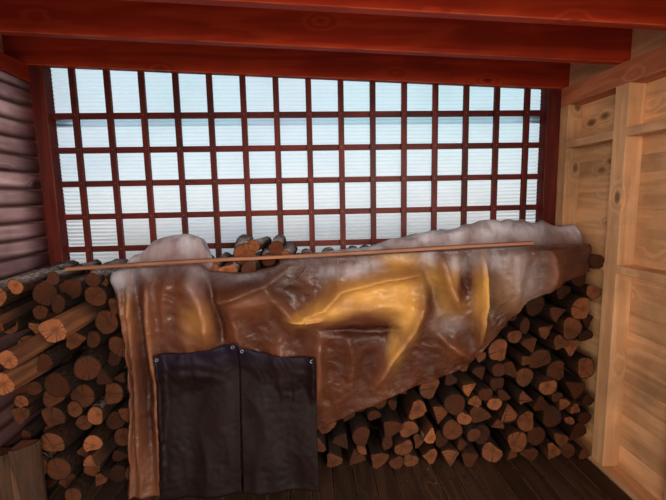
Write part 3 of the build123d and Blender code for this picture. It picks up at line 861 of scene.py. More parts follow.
def pole_outline():
    """Points round the end of a long split log: flats on every side, none the same."""
    points = []
    for angle in angles_of(LOG_SIDES):
        reach = 0.86 + 0.14 * cos(3 * angle + 0.6) * cos(angle - 0.4)
        points.append((reach * cos(angle), reach * sin(angle), True))
    return points


def cut_outline(cuts):
    """Points round a log's end of radius 1, cut flat at some angles and distances."""
    points = []
    for angle in angles_of(LOG_SIDES):
        reach, flat = 1.0, False
        for cut_at, distance in cuts:
            facing = cos(angle - radians(cut_at))
            if facing > 0.05 and distance / facing < reach:
                reach, flat = distance / facing, True
        points.append((reach * cos(angle), reach * sin(angle), flat))
    return points


print("corners of a log:", LOG_SIDES, "of a wedge:", len(wedge_outline()))

# %% Log shapes
HEART = (0.12, 0.05)
log_folder = bpy.data.collections.new("log_shapes")


def log_shape(number, outline, heart, bend):
    """A log of radius 1 and length 1 along Y. heart is where its rings are centred."""
    ends = ((-0.5, 0.0, 1.0), (0.05, bend, 0.97), (0.5, 0.0, 1.0))
    rings = [[(x * wide, y, z * wide + sag) for x, z, _ in outline] for y, sag, wide in ends]
    verts, faces = tube(rings)
    del faces[-2:]
    flat = [cut for _, _, cut in outline]
    parts = [2 * (flat[n % LOG_SIDES] and flat[(n + 1) % LOG_SIDES]) for n in range(len(faces))]
    bark = {number for number, part in enumerate(parts) if part == 0}
    for start, y in ((0, -0.5), (len(verts) - LOG_SIDES, 0.5)):
        centre = len(verts)
        verts.append((HEART[0], y, HEART[1]))
        for i in range(LOG_SIDES):
            faces.append((start + i, start + (i + 1) % LOG_SIDES, centre))
            parts.append(1)
    reach = 1 - heart[0]
    local = [((x - heart[0]) / reach, y, (z - heart[1]) / reach) for x, y, z in verts]
    pattern(log_folder, "log_" + str(number), verts, faces, parts, local, bark)


for number, half_flat in enumerate(SPLITS):
    cuts = ((0, cos(radians(half_flat))),)
    log_shape(number, cut_outline(cuts), (0.0, 0.0), 0.05)
log_shape(WEDGE, wedge_outline(), (WEDGE_HEART, 0.0), 0.02)
log_shape(POLE, pole_outline(), (0.0, 0.0), 0.08)
for number, cuts in enumerate(CHUNKS, FIRST_CHUNK):
    log_shape(number, cut_outline(cuts), (-0.3, -0.35), 0.03)

# %% Read the prisms back


def circle_through(points):
    """The centre and radius of the circle through the three points that stand widest apart."""
    best = (0.0,)
    for i, a in enumerate(points):
        for j, b in enumerate(points[i + 1 :], i + 1):
            for c in points[j + 1 :]:
                twice = 2 * ((b[0] - a[0]) * (c[1] - a[1]) - (b[1] - a[1]) * (c[0] - a[0]))
                if abs(twice) > abs(best[0]):
                    best = (twice, a, b, c)
    twice, a, b, c = best
    bx, bz, cx, cz = b[0] - a[0], b[1] - a[1], c[0] - a[0], c[1] - a[1]
    b_square, c_square = bx * bx + bz * bz, cx * cx + cz * cz
    x = a[0] + (cz * b_square - bz * c_square) / twice
    z = a[1] + (bx * c_square - cx * b_square) / twice
    return x, z, hypot(a[0] - x, a[1] - z)


def prisms(name):
    """For each log in a firewood solid: its centre, radius, front, back, and its split."""
    mesh = welded(name)
    found = []
    for part in islands(mesh):
        front = min(v.co.y for v in part)
        back = max(v.co.y for v in part)
        ends = sorted({(round(v.co.x, 5), round(v.co.z, 5)) for v in part})
        x, z, radius = circle_through(ends)
        angles = sorted(atan2(e[1] - z, e[0] - x) for e in ends)
        gaps = [(q - p) % TURN for p, q in zip(angles, angles[1:] + angles[:1])]
        widest = max(gaps)
        middle = angles[gaps.index(widest)] + widest / 2
        found.append((x, z, radius, front, back, widest, middle))
    mesh.free()
    return found


print("logs on top of the stack:", len(prisms("firewood_on_top")))

# %% [markdown]
# ## Bark, sawn ends and split faces
# A sawn end shows rings round a heart that is never quite in the middle, cracks that run out
# from it, and a dark rim of bark. A split face is pale and stringy along the log. The mesh
# carries each point's place on its own log in the attribute local, so rings follow the log.

# %% Firewood finishes


def sawn_end():
    """Rings, cracks and a bark rim, from the place on the log, with painted shade deep in the
    heap.
    """
    material, shader, place = finish_named("sawn_end")
    tone = mark(place, "tone")
    flat = vectors("MULTIPLY", mark(place, "local", "Vector"), (1, 0, 1))
    heart = vectors("SUBTRACT", flat, (HEART[0], 0.0, HEART[1]))
    far = plus(length(heart), times(clouds(place, 14.0), 0.14))
    rings = maths("SINE", times(far, 42.0))
    base = blend(spread(rings, -0.8, 1.0), (0.195, 0.066, 0.026), (0.275, 0.103, 0.044))
    fresh = blend(maths("POWER", tone, 2.0), (0.30, 0.24, 0.22), (1.7, 1.6, 1.5))
    base = blend(1.0, base, fresh, "MULTIPLY")
    base = blend(spread(far, 0.1, 0.5, 0.5, 0.0), base, (0.08, 0.022, 0.009))
    x, _, z = axes(heart)
    spoke = plus(times(maths("ARCTAN2", x, z), 2.2), times(tone, 60.0))
    wires = {"W": spoke, "Detail": 1.0, "Scale": 2.0}
    spokes = node(place.id_data, "TexNoise", wires, noise_dimensions="1D").outputs[0]
    crack = spread(spokes, 0.66, 0.7)
    base = blend(times(crack, 0.7), base, (0.02, 0.008, 0.004))
    base = blend(spread(length(flat), 0.87, 0.95), base, (0.022, 0.010, 0.006))
    base = grimy(base, place, 7.0, 0.5)["Colour"]
    wires = {"Base Color": heaped(base, place, 0.66), "Roughness": 0.85}
    wires["Normal"] = bump(less(times(rings, 0.15), crack), 0.4, 0.002)
    feed(shader, {**wires, "Specular IOR Level": 0.15})
    return material


def bark():
    """Furrowed bark, grey or red-brown, birch-like on a few logs, with painted sky light on top of
    the stack.
    """
    material, shader, place = finish_named("bark")
    tone = mark(place, "tone")
    stretched = vectors("MULTIPLY", place, (1.0, 0.28, 1.0))
    warp = clouds(stretched, 24.0, 3.0, "Color")
    pulled = vectors("MULTIPLY_ADD", warp, (0.05, 0.05, 0.05), stretched)
    plates = spread(cells(pulled, 62.0, feature="DISTANCE_TO_EDGE")[0], -0.25, 0.3)
    fine = clouds(stretched, 130.0, 5.0)
    rough = times(plates, fine)
    dark = blend(spread(tone, 0.3, 0.7), (0.006, 0.0028, 0.002), (0.011, 0.0042, 0.0022))
    pale = blend(spread(tone, 0.2, 0.8), (0.030, 0.016, 0.012), (0.046, 0.018, 0.009))
    base = blend(spread(rough, 0.12, 0.6), dark, pale)
    bands = clouds(vectors("MULTIPLY", place, (0.35, 1.0, 0.35)), 60.0)
    birch = blend(spread(bands, 0.42, 0.56), (0.03, 0.024, 0.022), (0.28, 0.22, 0.2))
    base = blend(spread(tone, 0.955, 0.965), base, birch)
    x, _, z = axes(place)
    facing = axes(node(place.id_data, "NewGeometry").outputs["Normal"])[2]
    top = stack_top(0.0)
    # Painted sky light: bark that faces up near the top of the stack is made paler.
    sky_lit_top = spread(maths("MULTIPLY_ADD", x, -STACK_RISE, z), top - 0.09, top + 0.01)
    sky_lit_top = times(sky_lit_top, spread(facing, 0.15, 0.85))
    sky_lit_top = times(sky_lit_top, spread(fine, 0.35, 0.6, 0.3, 1.0))
    base = blend(sky_lit_top, base, (0.34, 0.30, 0.30))
    wires = {"Base Color": heaped(base, place, 0.9), "Roughness": 0.92}
    feed(shader, {**wires, "Specular IOR Level": 0.12, "Normal": bump(rough, 0.9, 0.006)})
    return material


BARK = bark()
SAWN = sawn_end()
SPLIT = timber(
    "split_face", "y", (0.17, 0.066, 0.028), (0.075, 0.027, 0.011), (0.03, 0.012, 0.006),
    BARE_WOOD, 0.85, knots=0.3, relief=0.9, variation=1.2,
)
SPLIT_UP = timber(
    "split_face_upright", "z", (0.15, 0.068, 0.036), (0.018, 0.008, 0.005),
    (0.02, 0.008, 0.004), BARE_WOOD, 0.85, knots=0.2, relief=1.0, variation=1.4,
)
# The split faces get the painted shade deep in the heap too.
split_base = SPLIT.node_tree.nodes["Principled BSDF"].inputs["Base Color"]
place = node(SPLIT.node_tree, "TexCoord").outputs["Object"]
join(heaped(split_base.links[0].from_socket, place, 0.85), split_base)
print("firewood finishes:", BARK.name, SAWN.name, SPLIT.name)

# %% Lay the logs
STACKS = ("far_left", "left", "middle_left", "middle_right", "right", "far_right", "on_top")
LOOSE = {"far_left": (0.12, 0.4), "on_top": (0.14, 0.2)}
LOOSE_ELSEWHERE = (0.06, 0.8)
LOG_SNUG = 1.04
LONG_OUT = 0.2
SPLIT_LEAST = 36
SPLIT_SLACK = 14
POLE_TONE = 1.3
BACKING_FROM = 0.62
BACKING_THICK = 1.16
CHOICES = (WEDGE, WEDGE, *range(FIRST_CHUNK, FIRST_CHUNK + len(CHUNKS)))


def log_row(dice, log, loose, split_share):
    """One log as a point for the setting-out tree. split_share is how many round ones to split."""
    x, z, radius, front, back, widest, middle = log
    half_off = degrees(widest) / 2
    shape = 0
    for number, half_flat in enumerate(SPLITS):
        if number and half_off > SPLIT_LEAST and half_flat <= half_off + SPLIT_SLACK:
            shape = number
    spin = -middle
    if not shape:
        spin = dice.uniform(0, TURN)
        if dice.random() < split_share:
            shape = dice.choice(CHOICES)
    turn = (dice.uniform(-loose, loose), spin, dice.uniform(-loose, loose))
    if front < STACK_FACE - LONG_OUT:
        turn = (dice.uniform(-0.02, 0.04), 0.2, dice.uniform(-0.09, 0.0))
        shape = POLE
    at = (x, (front + back) / 2 + dice.uniform(-0.006, 0.006), z)
    size = (radius * LOG_SNUG, back - front, radius * LOG_SNUG)
    tone = POLE_TONE if shape == POLE else dice.random()
    return {"at": at, "size": size, "turn": turn, "tone": tone, "shape": shape}


def backing(dice, log):
    """A second log behind, thick enough to stop the light of the window between the logs."""
    x, z, radius, front, back, _, _ = log
    start = front + (back - front) * BACKING_FROM
    size = (radius * BACKING_THICK, back - start, radius * BACKING_THICK)
    row = {"at": (x, (start + back) / 2, z), "size": size}
    return {**row, "turn": (0.0, dice.uniform(0, TURN), 0.0), "tone": dice.uniform(0.0, 0.9)}


for bay in STACKS:
    name = "firewood_" + bay
    logs = prisms(name)
    rows = [log_row(dice, log, *LOOSE.get(bay, LOOSE_ELSEWHERE)) for log in logs]
    if bay != "on_top":
        rows += [backing(dice, log) for log in logs]
    mesh = scattered(
        name, rows, log_folder, (BARK, SAWN, SPLIT), out_of_true=0.036, noise_size=12.0, seed=5.0
    )
    show(name + "_logs", mesh, [], "firewood", name)
    print(name, "logs:", len(rows), "triangles:", sum(len(p.vertices) - 2 for p in mesh.polygons))

# %% Bark crumbs on the deck
CRUMBS = 110
CRUMB_SPAN = (-1.5, 1.45)
crumb_folder = bpy.data.collections.new("crumbs")
for number, (wide, deep, high) in enumerate(((1.0, 0.5, 0.18), (0.6, 0.45, 0.3))):
    base = ((-0.5, -0.4), (0.45, -0.5), (0.5, 0.4), (-0.3, 0.5))
    verts = [(x * wide, y * deep, 0) for x, y in base] + [(0.1 * wide, 0.0, high)]
    faces = [(3, 2, 1, 0), (0, 1, 4), (1, 2, 4), (2, 3, 4), (3, 0, 4)]
    pattern(crumb_folder, "crumb_" + str(number), verts, faces, parts=[0, 0, 2, 0, 2])
crumb_dice = random.Random(29)
rows = []
for number in range(CRUMBS):
    away = abs(crumb_dice.gauss(0.0, 0.13))
    size = crumb_dice.uniform(0.008, 0.026)
    at = (crumb_dice.uniform(*CRUMB_SPAN), STACK_FACE - 0.02 - away, DECK + 0.0003)
    turn = (0.0, 0.0, crumb_dice.uniform(0, TURN))
    row = {"at": at, "size": (size, size, size), "turn": turn, "shape": number % 2}
    rows.append({**row, "tone": crumb_dice.random()})
mesh = scattered("crumb_points", rows, crumb_folder, (BARK, None, SPLIT_UP))
show("bark_crumbs", mesh, [], "firewood")
print("bark crumbs:", len(rows))

# %% Split billets stood on end
BILLET_SIDES = 9
BILLET_LEVELS = 7
BILLET_RADIUS = 0.095
BILLETS = ((0.33, 0.35), (0.365, 0.8))


def billet(centre_x, centre_y, height, dice):
    """A quarter of a log, split twice, standing on the deck with its corner to the back left."""
    outline = [(0.0, 0.0)]
    for i in range(BILLET_SIDES):
        angle = -pi / 2 * i / (BILLET_SIDES - 1)
        reach = BILLET_RADIUS * (1 + dice.uniform(-0.05, 0.02))
        outline.append((reach * cos(angle), reach * sin(angle)))
    rings = []
    for k in range(BILLET_LEVELS):
        z = DECK + height * k / (BILLET_LEVELS - 1)
        ring = []
        for i, (x, y) in enumerate(outline):
            drift = abs(0.004 * sin(3.1 * k + i))
            if i == 0:
                ring.append((centre_x + drift, centre_y - drift, z))
            else:
                ring.append((centre_x + x * (1 - drift * 5), centre_y + y * (1 - drift * 5), z))
        rings.append(ring)
    verts, faces = tube(rings)
    count = len(outline)
    parts = [0 if n % count in (0, count - 1) else 2 for n in range(len(faces) - 2)] + [1, 1]
    local = [(x / BILLET_RADIUS, 0.0, y / BILLET_RADIUS) for x, y in outline] * BILLET_LEVELS
    return verts, faces, parts, local


low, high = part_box("upright_billets")
verts, faces, parts, local, tones = [], [], [], [], []
for number, (height, tone) in enumerate(BILLETS):
    corner = low.x + number * (high.x - low.x - BILLET_RADIUS)
    made = billet(corner, high.y, height, dice)
    faces += [tuple(len(verts) + v for v in face) for face in made[1]]
    verts += made[0]
    parts += made[2]
    local += made[3]
    tones += [tone] * len(made[0])
billets = bpy.data.collections.new("billets")
mesh = pattern(billets, "upright_billets", verts, faces, parts, local)
mesh.attributes.new("tone", "FLOAT", "POINT").data.foreach_set("value", tones)
mesh.polygons.foreach_set("material_index", parts)
show("upright_billets_split", mesh, [BARK, SAWN, SPLIT_UP], "firewood", "upright_billets")
print("billets:", len(verts), "vertices")

# %% [markdown]
# ## The ribbed sheet at the back
# A translucent plastic sheet closes the back. It has small round ribs that run from side to
# side, so it is a flat grid whose rows are pushed in and out by a sine. One tree does it from
# the pitch and the depth of the ribs. Two sheets lap near the top.

# %% The rib tree
RIB_PITCH = 0.0235
RIB_DEPTH = 0.0055
RIB_WALL = 0.0012
sockets = (
    "Geometry: Points",
    "Float: Width, Height, Rib pitch, Rib depth, Wall",
    "Int: Rows",
    "Material: Finish",
)
given, made = group("Ribs", sockets, ("Geometry: Mesh",), "GeometryNodeTree")
RIBS = given["Width"].id_data
wires = {"Size X": given["Width"], "Size Y": given["Height"], "Vertices X": 9}
grid = node(RIBS, "MeshGrid", {**wires, "Vertices Y": given["Rows"]}).outputs[0]
stood = node(RIBS, "Transform", {"Geometry": grid, "Rotation": (pi / 2, 0, 0)}).outputs[0]
height = axes(node(RIBS, "InputPosition").outputs[0])[2]
wave = maths("COSINE", times(maths("DIVIDE", height, given["Rib pitch"]), TURN))
depth = times(times(wave, given["Rib depth"]), 0.5)
in_and_out = node(RIBS, "CombineXYZ", {1: depth}).outputs[0]
ribbed = node(RIBS, "SetPosition", {"Geometry": stood, "Offset": in_and_out}).outputs[0]
back = node(RIBS, "CombineXYZ", {1: given["Wall"]}).outputs[0]
wires = {"Mesh": ribbed, "Offset": back, "Offset Scale": 1.0, "Individual": False}
closed = node(RIBS, "JoinGeometry")
join(node(RIBS, "ExtrudeMesh", wires).outputs[0], closed.inputs[0])
join(after("FlipFaces", (ribbed,)).outputs[0], closed.inputs[0])
wires = {"Geometry": closed.outputs[0], "Distance": 1e-5}
merged = node(RIBS, "MergeByDistance", wires).outputs[0]
smoothed = node(RIBS, "SetShadeSmooth", {"Geometry": merged, "Shade Smooth": True}).outputs[0]
whole = after("RealizeInstances", (smoothed,)).outputs[0]
wires = {"Geometry": whole, "Material": given["Finish"]}
join(node(RIBS, "SetMaterial", wires).outputs[0], made[0])
print("geometry tree made:", RIBS.name)

# %% Ribbed plastic


def translucent_sheet():
    """Bluish plastic letting soft light through, with painted sky light at the top and dark rib
    lines.
    """
    material, shader, place = finish_named("ribbed_plastic")
    height = axes(place)[2]
    # Painted sky light: the sheet is made bluer towards the top, where the sky shows through it.
    tint = blend(spread(height, 1.5, 2.5), (0.97, 0.955, 0.95), (0.70, 0.93, 1.0))
    base = blend(spread(clouds(place, 1.3, 5.0), 0.35, 0.7), tint, (0.80, 0.88, 0.96))
    rib = spread(maths("SINE", times(height, TURN / RIB_PITCH)), 0.35, 1.0, 0.0, 0.42)
    base = blend(rib, base, (0.52, 0.64, 0.74))
    wires = {"Base Color": grimy(base, place, 2.0, 0.1)["Colour"], "Transmission Weight": 0.9}
    feed(shader, {**wires, "Roughness": 0.3, "IOR": 1.3})
    return material


RIBBED = translucent_sheet()
LAP_LEVEL = 2.186
LAP = 0.06
ROWS_A_RIB = 8
FIRST_SHEET_IN = 0.003
SECOND_SHEET_IN = 0.005
low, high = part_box("back_ribbed_sheet")
sheets = []
for foot, head, inward in (
    (low.z, LAP_LEVEL + LAP, FIRST_SHEET_IN),
    (LAP_LEVEL, high.z, SECOND_SHEET_IN),
):
    values = {"Width": high.x - low.x, "Height": head - foot, "Rib pitch": RIB_PITCH}
    values.update({"Rib depth": RIB_DEPTH, "Wall": RIB_WALL, "Finish": RIBBED})
    values["Rows"] = int((head - foot) / RIB_PITCH * ROWS_A_RIB)
    mesh = grown(bpy.data.meshes.new("nothing"), RIBS, values)
    centre = Vector(((low.x + high.x) / 2, low.y + inward, (foot + head) / 2))
    mesh.transform(Matrix.Translation(centre))
    sheets.append(mesh)
mesh = bpy.data.meshes.new("ribbed_sheets")
outward(mesh, *sheets)
mesh.shade_smooth()
show("ribbed_sheets", mesh, [RIBBED], "ribbed_plastic", "back_ribbed_sheet")
print("ribbed sheets:", len(mesh.polygons), "faces")

# %% [markdown]
# ## Roof boards and felt
# Boards run from front to back over the rafters, and mineral felt lies on them in strips that
# lap down the slope like slates. From inside, the boards show between the rafters.

# %% Roof boards
ROOF_ANGLE = atan(ROOF_DROP)
ROOF_BOARDS = 38
ROOF_THICK = 0.018
ROOF_CHAMFER = 0.003
ROOF_GAP = 0.0008
ROOF_RUNS = 8
low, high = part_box("roof_boards")
pitch = (high.x - low.x) / ROOF_BOARDS
side = (pitch / cos(ROOF_ANGLE) - ROOF_GAP) / 2
half_length = (high.y - low.y) / 2
section = [(ROOF_CHAMFER - side, 0.0), (side - ROOF_CHAMFER, 0.0), (side, ROOF_CHAMFER)]
section += [(side, ROOF_THICK), (-side, ROOF_THICK), (-side, ROOF_CHAMFER)]
stations = [half_length * (2 * k / ROOF_RUNS - 1) for k in range(ROOF_RUNS + 1)]
roof_folder = bpy.data.collections.new("roof_board_pattern")
pattern(roof_folder, "roof_board", *tube([[(x, y, z) for x, z in section] for y in stations]))
rows = []
for number in range(ROOF_BOARDS):
    x = low.x + pitch * (number + 0.5)
    at = (x, 0.0, rafter_foot(x) + RAFTER_DEPTH)
    rows.append({"at": at, "turn": (0.0, ROOF_ANGLE, 0.0), "tone": dice.random()})
mesh = scattered("roof_boards_points", rows, roof_folder, (WOOD["stained", "y"],))
show("roof_boards_laid", mesh, [], "stained_timber", "roof_boards")
print("roof boards:", len(rows), "top", round(max(v.co.z for v in mesh.vertices), 4))

# %% Felt finish, and helpers for sheets


def felt():
    """Dark felt covered in small grey-green mineral chips."""
    material, shader, place = finish_named("mineral_felt")
    chips = cells(place, 420.0)
    base = blend(axes(chips["Color"])[0], (0.03, 0.034, 0.033), (0.13, 0.145, 0.135))
    wires = {"Base Color": grimy(base, place, 1.6, 0.6)["Colour"], "Roughness": 0.95}
    feed(shader, {**wires, "Normal": bump(chips["Distance"], 0.6, 0.0015)})
    return material


def noise_at(x, y, z):
    """Smooth noise at a place, between about -1 and 1."""
    return noise.noise(Vector((x, y, z)))


def grid_faces(columns, rows, start=0):
    """The faces of a grid whose vertices come column by column."""
    stride = rows + 1
    corners = [
        start + column * stride + row for column in range(columns) for row in range(rows)
    ]
    return [(a, a + 1, a + stride + 1, a + stride) for a in corners]


print("helpers: felt, noise_at, grid_faces")

# %% Felt strips
FELT_TOTAL = 0.004
FELT_WALL = 0.0019
FELT_LAP = 0.075
FELT_ACROSS, FELT_ALONG = 14, 18
FELT_REST = 0.0002
STRIPS = 4
low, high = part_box("roof_felt")
strip = (high.x - low.x + FELT_LAP * (STRIPS - 1)) / STRIPS
row = FELT_ALONG + 1
layer = (FELT_ACROSS + 1) * row
rim = list(range(row)) + [i * row + FELT_ALONG for i in range(1, FELT_ACROSS + 1)]
rim += [FELT_ACROSS * row + k for k in range(FELT_ALONG - 1, -1, -1)]
rim += [i * row for i in range(FELT_ACROSS - 1, 0, -1)]
verts, faces = [], []
for number in range(STRIPS):
    start = len(verts)
    for side in (0, 1):
        faces += grid_faces(FELT_ACROSS, FELT_ALONG, start + side * layer)
        for i in range(FELT_ACROSS + 1):
            share = i / FELT_ACROSS
            x = low.x + number * (strip - FELT_LAP) + strip * share
            lift = FELT_REST
            if number < STRIPS - 1:
                lift = FELT_TOTAL - 2 * FELT_WALL + FELT_WALL * share
            level = rafter_foot(x) + RAFTER_DEPTH + ROOF_THICK + lift * 0.98 + FELT_WALL * side
            for k in range(FELT_ALONG + 1):
                y = low.y + (high.y - low.y) * k / FELT_ALONG
                ripple = 0.0001 * noise_at(x * 6, y * 5, number)
                verts.append((x, y, level + ripple))
    for a, b in zip(rim, rim[1:] + rim[:1]):
        faces.append((start + a, start + b, start + b + layer, start + a + layer))
mesh = solid_mesh("felt_strips", verts, faces)
show("felt_strips", mesh, [felt()], "roof_felt", "roof_felt")
print("felt top", round(max(v.co.z for v in mesh.vertices), 4), "of", round(high.z, 4))

# %% [markdown]
# ## The milky film
# A sheet of milky plastic film is drawn over the stack and hangs down its front. It is one
# grid: each column starts on top of the stack, comes over the front edge, and runs down to the
# lower hem. Folds are strokes in the plane of the front. Each stroke is a line with a width and
# a height, and pushes the film out like a finger under cloth. Noise adds the small creases.

# %% Film outline: tables of (x, value)
FILM_COLUMNS = 190
FILM_TOP_ROWS = 16
FILM_ROWS = 110
FILM_LEFT = -1.08
FILM_RIGHT = 1.49
FILM_HEM = (
    (-1.058, 0.176), (-0.40, 0.176), (-0.057, 0.437), (0.320, 0.599), (0.797, 0.774),
    (1.127, 1.128), (1.4955, 1.298),
)
FILM_CREST = (
    (-1.08, -0.012), (-0.98, 0.0), (-0.66, 0.001), (-0.58, -0.045), (-0.42, -0.06),
    (-0.27, -0.045), (-0.17, 0.0), (1.10, 0.001), (1.49, -0.004),
)
FILM_HUMP = (
    (-1.08, 0.0), (-1.0, 0.06), (-0.90, 0.125), (-0.76, 0.15), (-0.67, 0.13), (-0.61, 0.085),
    (-0.565, 0.03), (-0.53, 0.0), (-0.17, 0.0), (0.2, 0.02), (0.55, 0.07), (0.80, 0.105),
    (0.97, 0.125), (1.2, 0.12), (1.49, 0.08),
)
FILM_REACH = (
    (-1.08, 0.12), (-0.95, 0.30), (-0.66, 0.30), (-0.57, 0.08), (-0.40, 0.02), (-0.25, 0.06),
    (0.0, 0.24), (0.6, 0.3), (1.49, 0.3),
)
print("film from", FILM_LEFT, "to", FILM_RIGHT)

# %% Film folds: (points of a line, width, height)
STROKES = (
    (((-1.056, 1.30), (-1.039, 1.063), (-1.076, 0.678), (-1.05, 0.123)), 0.014, 0.050),
    (((-1.000, 1.33), (-0.995, 0.95), (-1.005, 0.55), (-0.985, 0.18)), 0.022, 0.055),
    (((-0.953, 1.32), (-0.95, 0.95), (-0.945, 0.55), (-0.925, 0.17)), 0.013, -0.025),
    (((-0.905, 1.34), (-0.91, 0.98), (-0.895, 0.84), (-0.885, 0.2)), 0.020, 0.055),
    (((-0.80, 1.36), (-0.83, 1.20), (-0.84, 1.02)), 0.03, 0.025),
    (((-0.72, 1.37), (-0.66, 1.24), (-0.62, 1.10), (-0.62, 0.98)), 0.045, 0.060),
    (((-0.60, 1.38), (-0.585, 1.25), (-0.55, 1.10), (-0.53, 0.95)), 0.020, -0.040),
    (((-0.555, 1.20), (-0.50, 1.215), (-0.42, 1.24), (-0.28, 1.295), (-0.19, 1.36)), 0.026, 0.080),
    (((-0.52, 1.17), (-0.36, 1.18), (-0.25, 1.20)), 0.055, 0.050),
    (((-0.49, 1.2), (-0.47, 1.08), (-0.44, 0.95)), 0.025, 0.030),
    (((-0.30, 1.27), (-0.22, 1.16), (-0.16, 1.09)), 0.030, 0.050),
    (
        (
            (-0.20, 1.085), (-0.133, 1.09), (0.0, 1.147), (0.094, 1.237), (0.321, 1.289),
            (0.544, 1.31),
        ),
        0.026, 0.060,
    ),
    (((-0.06, 1.10), (0.1, 1.13), (0.35, 1.15), (0.52, 1.12)), 0.085, 0.055),
    (((0.02, 1.02), (0.20, 1.00), (0.46, 1.0)), 0.022, -0.040),
    (((-0.15, 1.088), (-0.08, 1.08), (0.01, 1.085)), 0.012, 0.045),
    (((0.55, 1.17), (0.485, 1.006), (0.347, 0.818), (0.268, 0.677)), 0.032, 0.060),
    (((0.618, 1.44), (0.66, 1.34), (0.694, 1.217), (0.74, 1.12)), 0.030, 0.060),
    (((0.52, 1.38), (0.60, 1.24), (0.62, 1.12)), 0.022, -0.025),
    (((0.78, 1.43), (0.77, 1.30), (0.80, 1.20)), 0.026, -0.035),
    (((0.867, 1.42), (0.878, 1.143), (0.863, 0.91)), 0.018, 0.090),
    (((0.93, 1.40), (0.93, 1.2), (0.92, 1.05)), 0.025, -0.030),
    (((1.05, 1.44), (1.06, 1.30), (1.08, 1.12)), 0.045, 0.040),
    (((1.25, 1.44), (1.27, 1.30), (1.27, 1.18)), 0.045, 0.045),
    (((0.60, 1.0), (0.70, 0.9), (0.78, 0.83)), 0.026, 0.035),
    (((0.12, 1.0), (0.16, 0.85), (0.14, 0.65)), 0.035, 0.030),
    (((-0.02, 0.98), (-0.03, 0.8), (-0.04, 0.6)), 0.030, 0.035),
    (((-0.25, 0.95), (-0.2, 0.8), (-0.2, 0.6)), 0.04, 0.03),
    (((-0.75, 1.1), (-0.72, 0.9), (-0.7, 0.6)), 0.06, 0.02),
)
print("folds:", len(STROKES))

# %% Film light: (x, z, half width, half height, strength)
# The glows paint golden highlights where a strength is above nothing and shade where it is below;
# the pale places after them paint sky light.
GLOWS = (
    (0.02, 1.13, 0.12, 0.05, 1.0), (0.20, 1.22, 0.14, 0.075, 1.0), (0.40, 1.20, 0.13, 0.10, 1.2),
    (0.45, 1.06, 0.05, 0.10, 0.9), (0.38, 0.90, 0.045, 0.11, 0.8), (0.60, 1.30, 0.07, 0.08, 0.5),
    (0.42, 1.385, 0.12, 0.045, 0.75), (-0.15, 1.33, 0.09, 0.06, -0.5),
    (0.87, 1.20, 0.035, 0.17, 0.9), (0.72, 1.30, 0.04, 0.08, 0.5), (-0.12, 1.09, 0.06, 0.03, 0.8),
    (-0.66, 1.10, 0.08, 0.10, 0.35), (-1.0, 1.15, 0.03, 0.25, 0.25),
    (-0.90, 0.80, 0.02, 0.40, 0.25), (-1.0, 0.55, 0.14, 0.45, -0.4),
    (0.19, 0.97, 0.15, 0.085, -0.9), (0.10, 0.83, 0.16, 0.10, -0.6),
    (-0.36, 1.28, 0.20, 0.055, -0.8), (-0.17, 1.22, 0.10, 0.08, -0.6),
    (-0.50, 1.15, 0.05, 0.12, -0.6), (-0.62, 1.34, 0.10, 0.06, -0.3),
    (-0.95, 0.9, 0.02, 0.45, -0.7), (1.05, 1.24, 0.14, 0.14, 0.3), (0.68, 1.15, 0.14, 0.13, 0.35),
    (0.57, 1.16, 0.05, 0.12, -0.4), (0.76, 1.22, 0.05, 0.06, -0.5),
    (-0.85, 1.15, 0.05, 0.15, -0.2),
)
SKY_PALES = (
    (-1.04, 1.34, 0.06, 0.07, 0.7), (-0.92, 1.37, 0.05, 0.04, 0.4), (-0.66, 1.33, 0.04, 0.09, 0.3),
    (-0.38, 1.32, 0.12, 0.025, 0.25), (0.12, 1.335, 0.13, 0.035, 0.5),
    (0.25, 1.37, 0.08, 0.03, 0.45), (0.58, 1.40, 0.05, 0.05, 0.5), (0.72, 1.36, 0.06, 0.05, 0.45),
    (0.95, 1.38, 0.12, 0.06, 0.5), (1.10, 1.28, 0.10, 0.12, 0.45), (0.70, 1.02, 0.08, 0.05, 0.25),
)
print("glows:", len(GLOWS), "pale places:", len(SKY_PALES))

# %% Film helpers
FOOT_FLARE = 0.10
FILM_LIES = 0.012
LINE_END = 0.35


def held(value):
    """A value kept between nothing and one."""
    return max(0.0, min(1.0, value))


def soft(share):
    """A share that starts and ends gently."""
    return share * share * (3 - 2 * share)


def along_table(table, x, ease=soft):
    """A value read from a table of (x, value), with a run between each two."""
    if x <= table[0][0]:
        return table[0][1]
    for (x0, v0), (x1, v1) in zip(table[:-1], table[1:]):
        if x <= x1:
            return v0 + (v1 - v0) * ease((x - x0) / (x1 - x0))
    return table[-1][1]


def off_line(x, z, line):
    """Shortest distance from a point to a bent line, and how near it is to the line's ends."""
    best, fade = inf, 0.0
    last = len(line) - 2
    for number, (a, b) in enumerate(zip(line[:-1], line[1:])):
        ux, uz = b[0] - a[0], b[1] - a[1]
        share = held(((x - a[0]) * ux + (z - a[1]) * uz) / (ux * ux + uz * uz))
        distance = hypot(x - a[0] - share * ux, z - a[1] - share * uz)
        if distance < best:
            best, fade = distance, 1.0
            if number == 0:
                fade = min(1.0, LINE_END + 1.3 * share)
            if number == last:
                fade = min(fade, LINE_END + 1.3 * (1 - share))
    return best, fade


def creased(x, z, seed, size):
    """Noise with sharp ridges, like film that has been folded before."""
    return 1 - abs(noise_at(x / size + seed, z / size - seed, seed * 1.7)) * 2.6


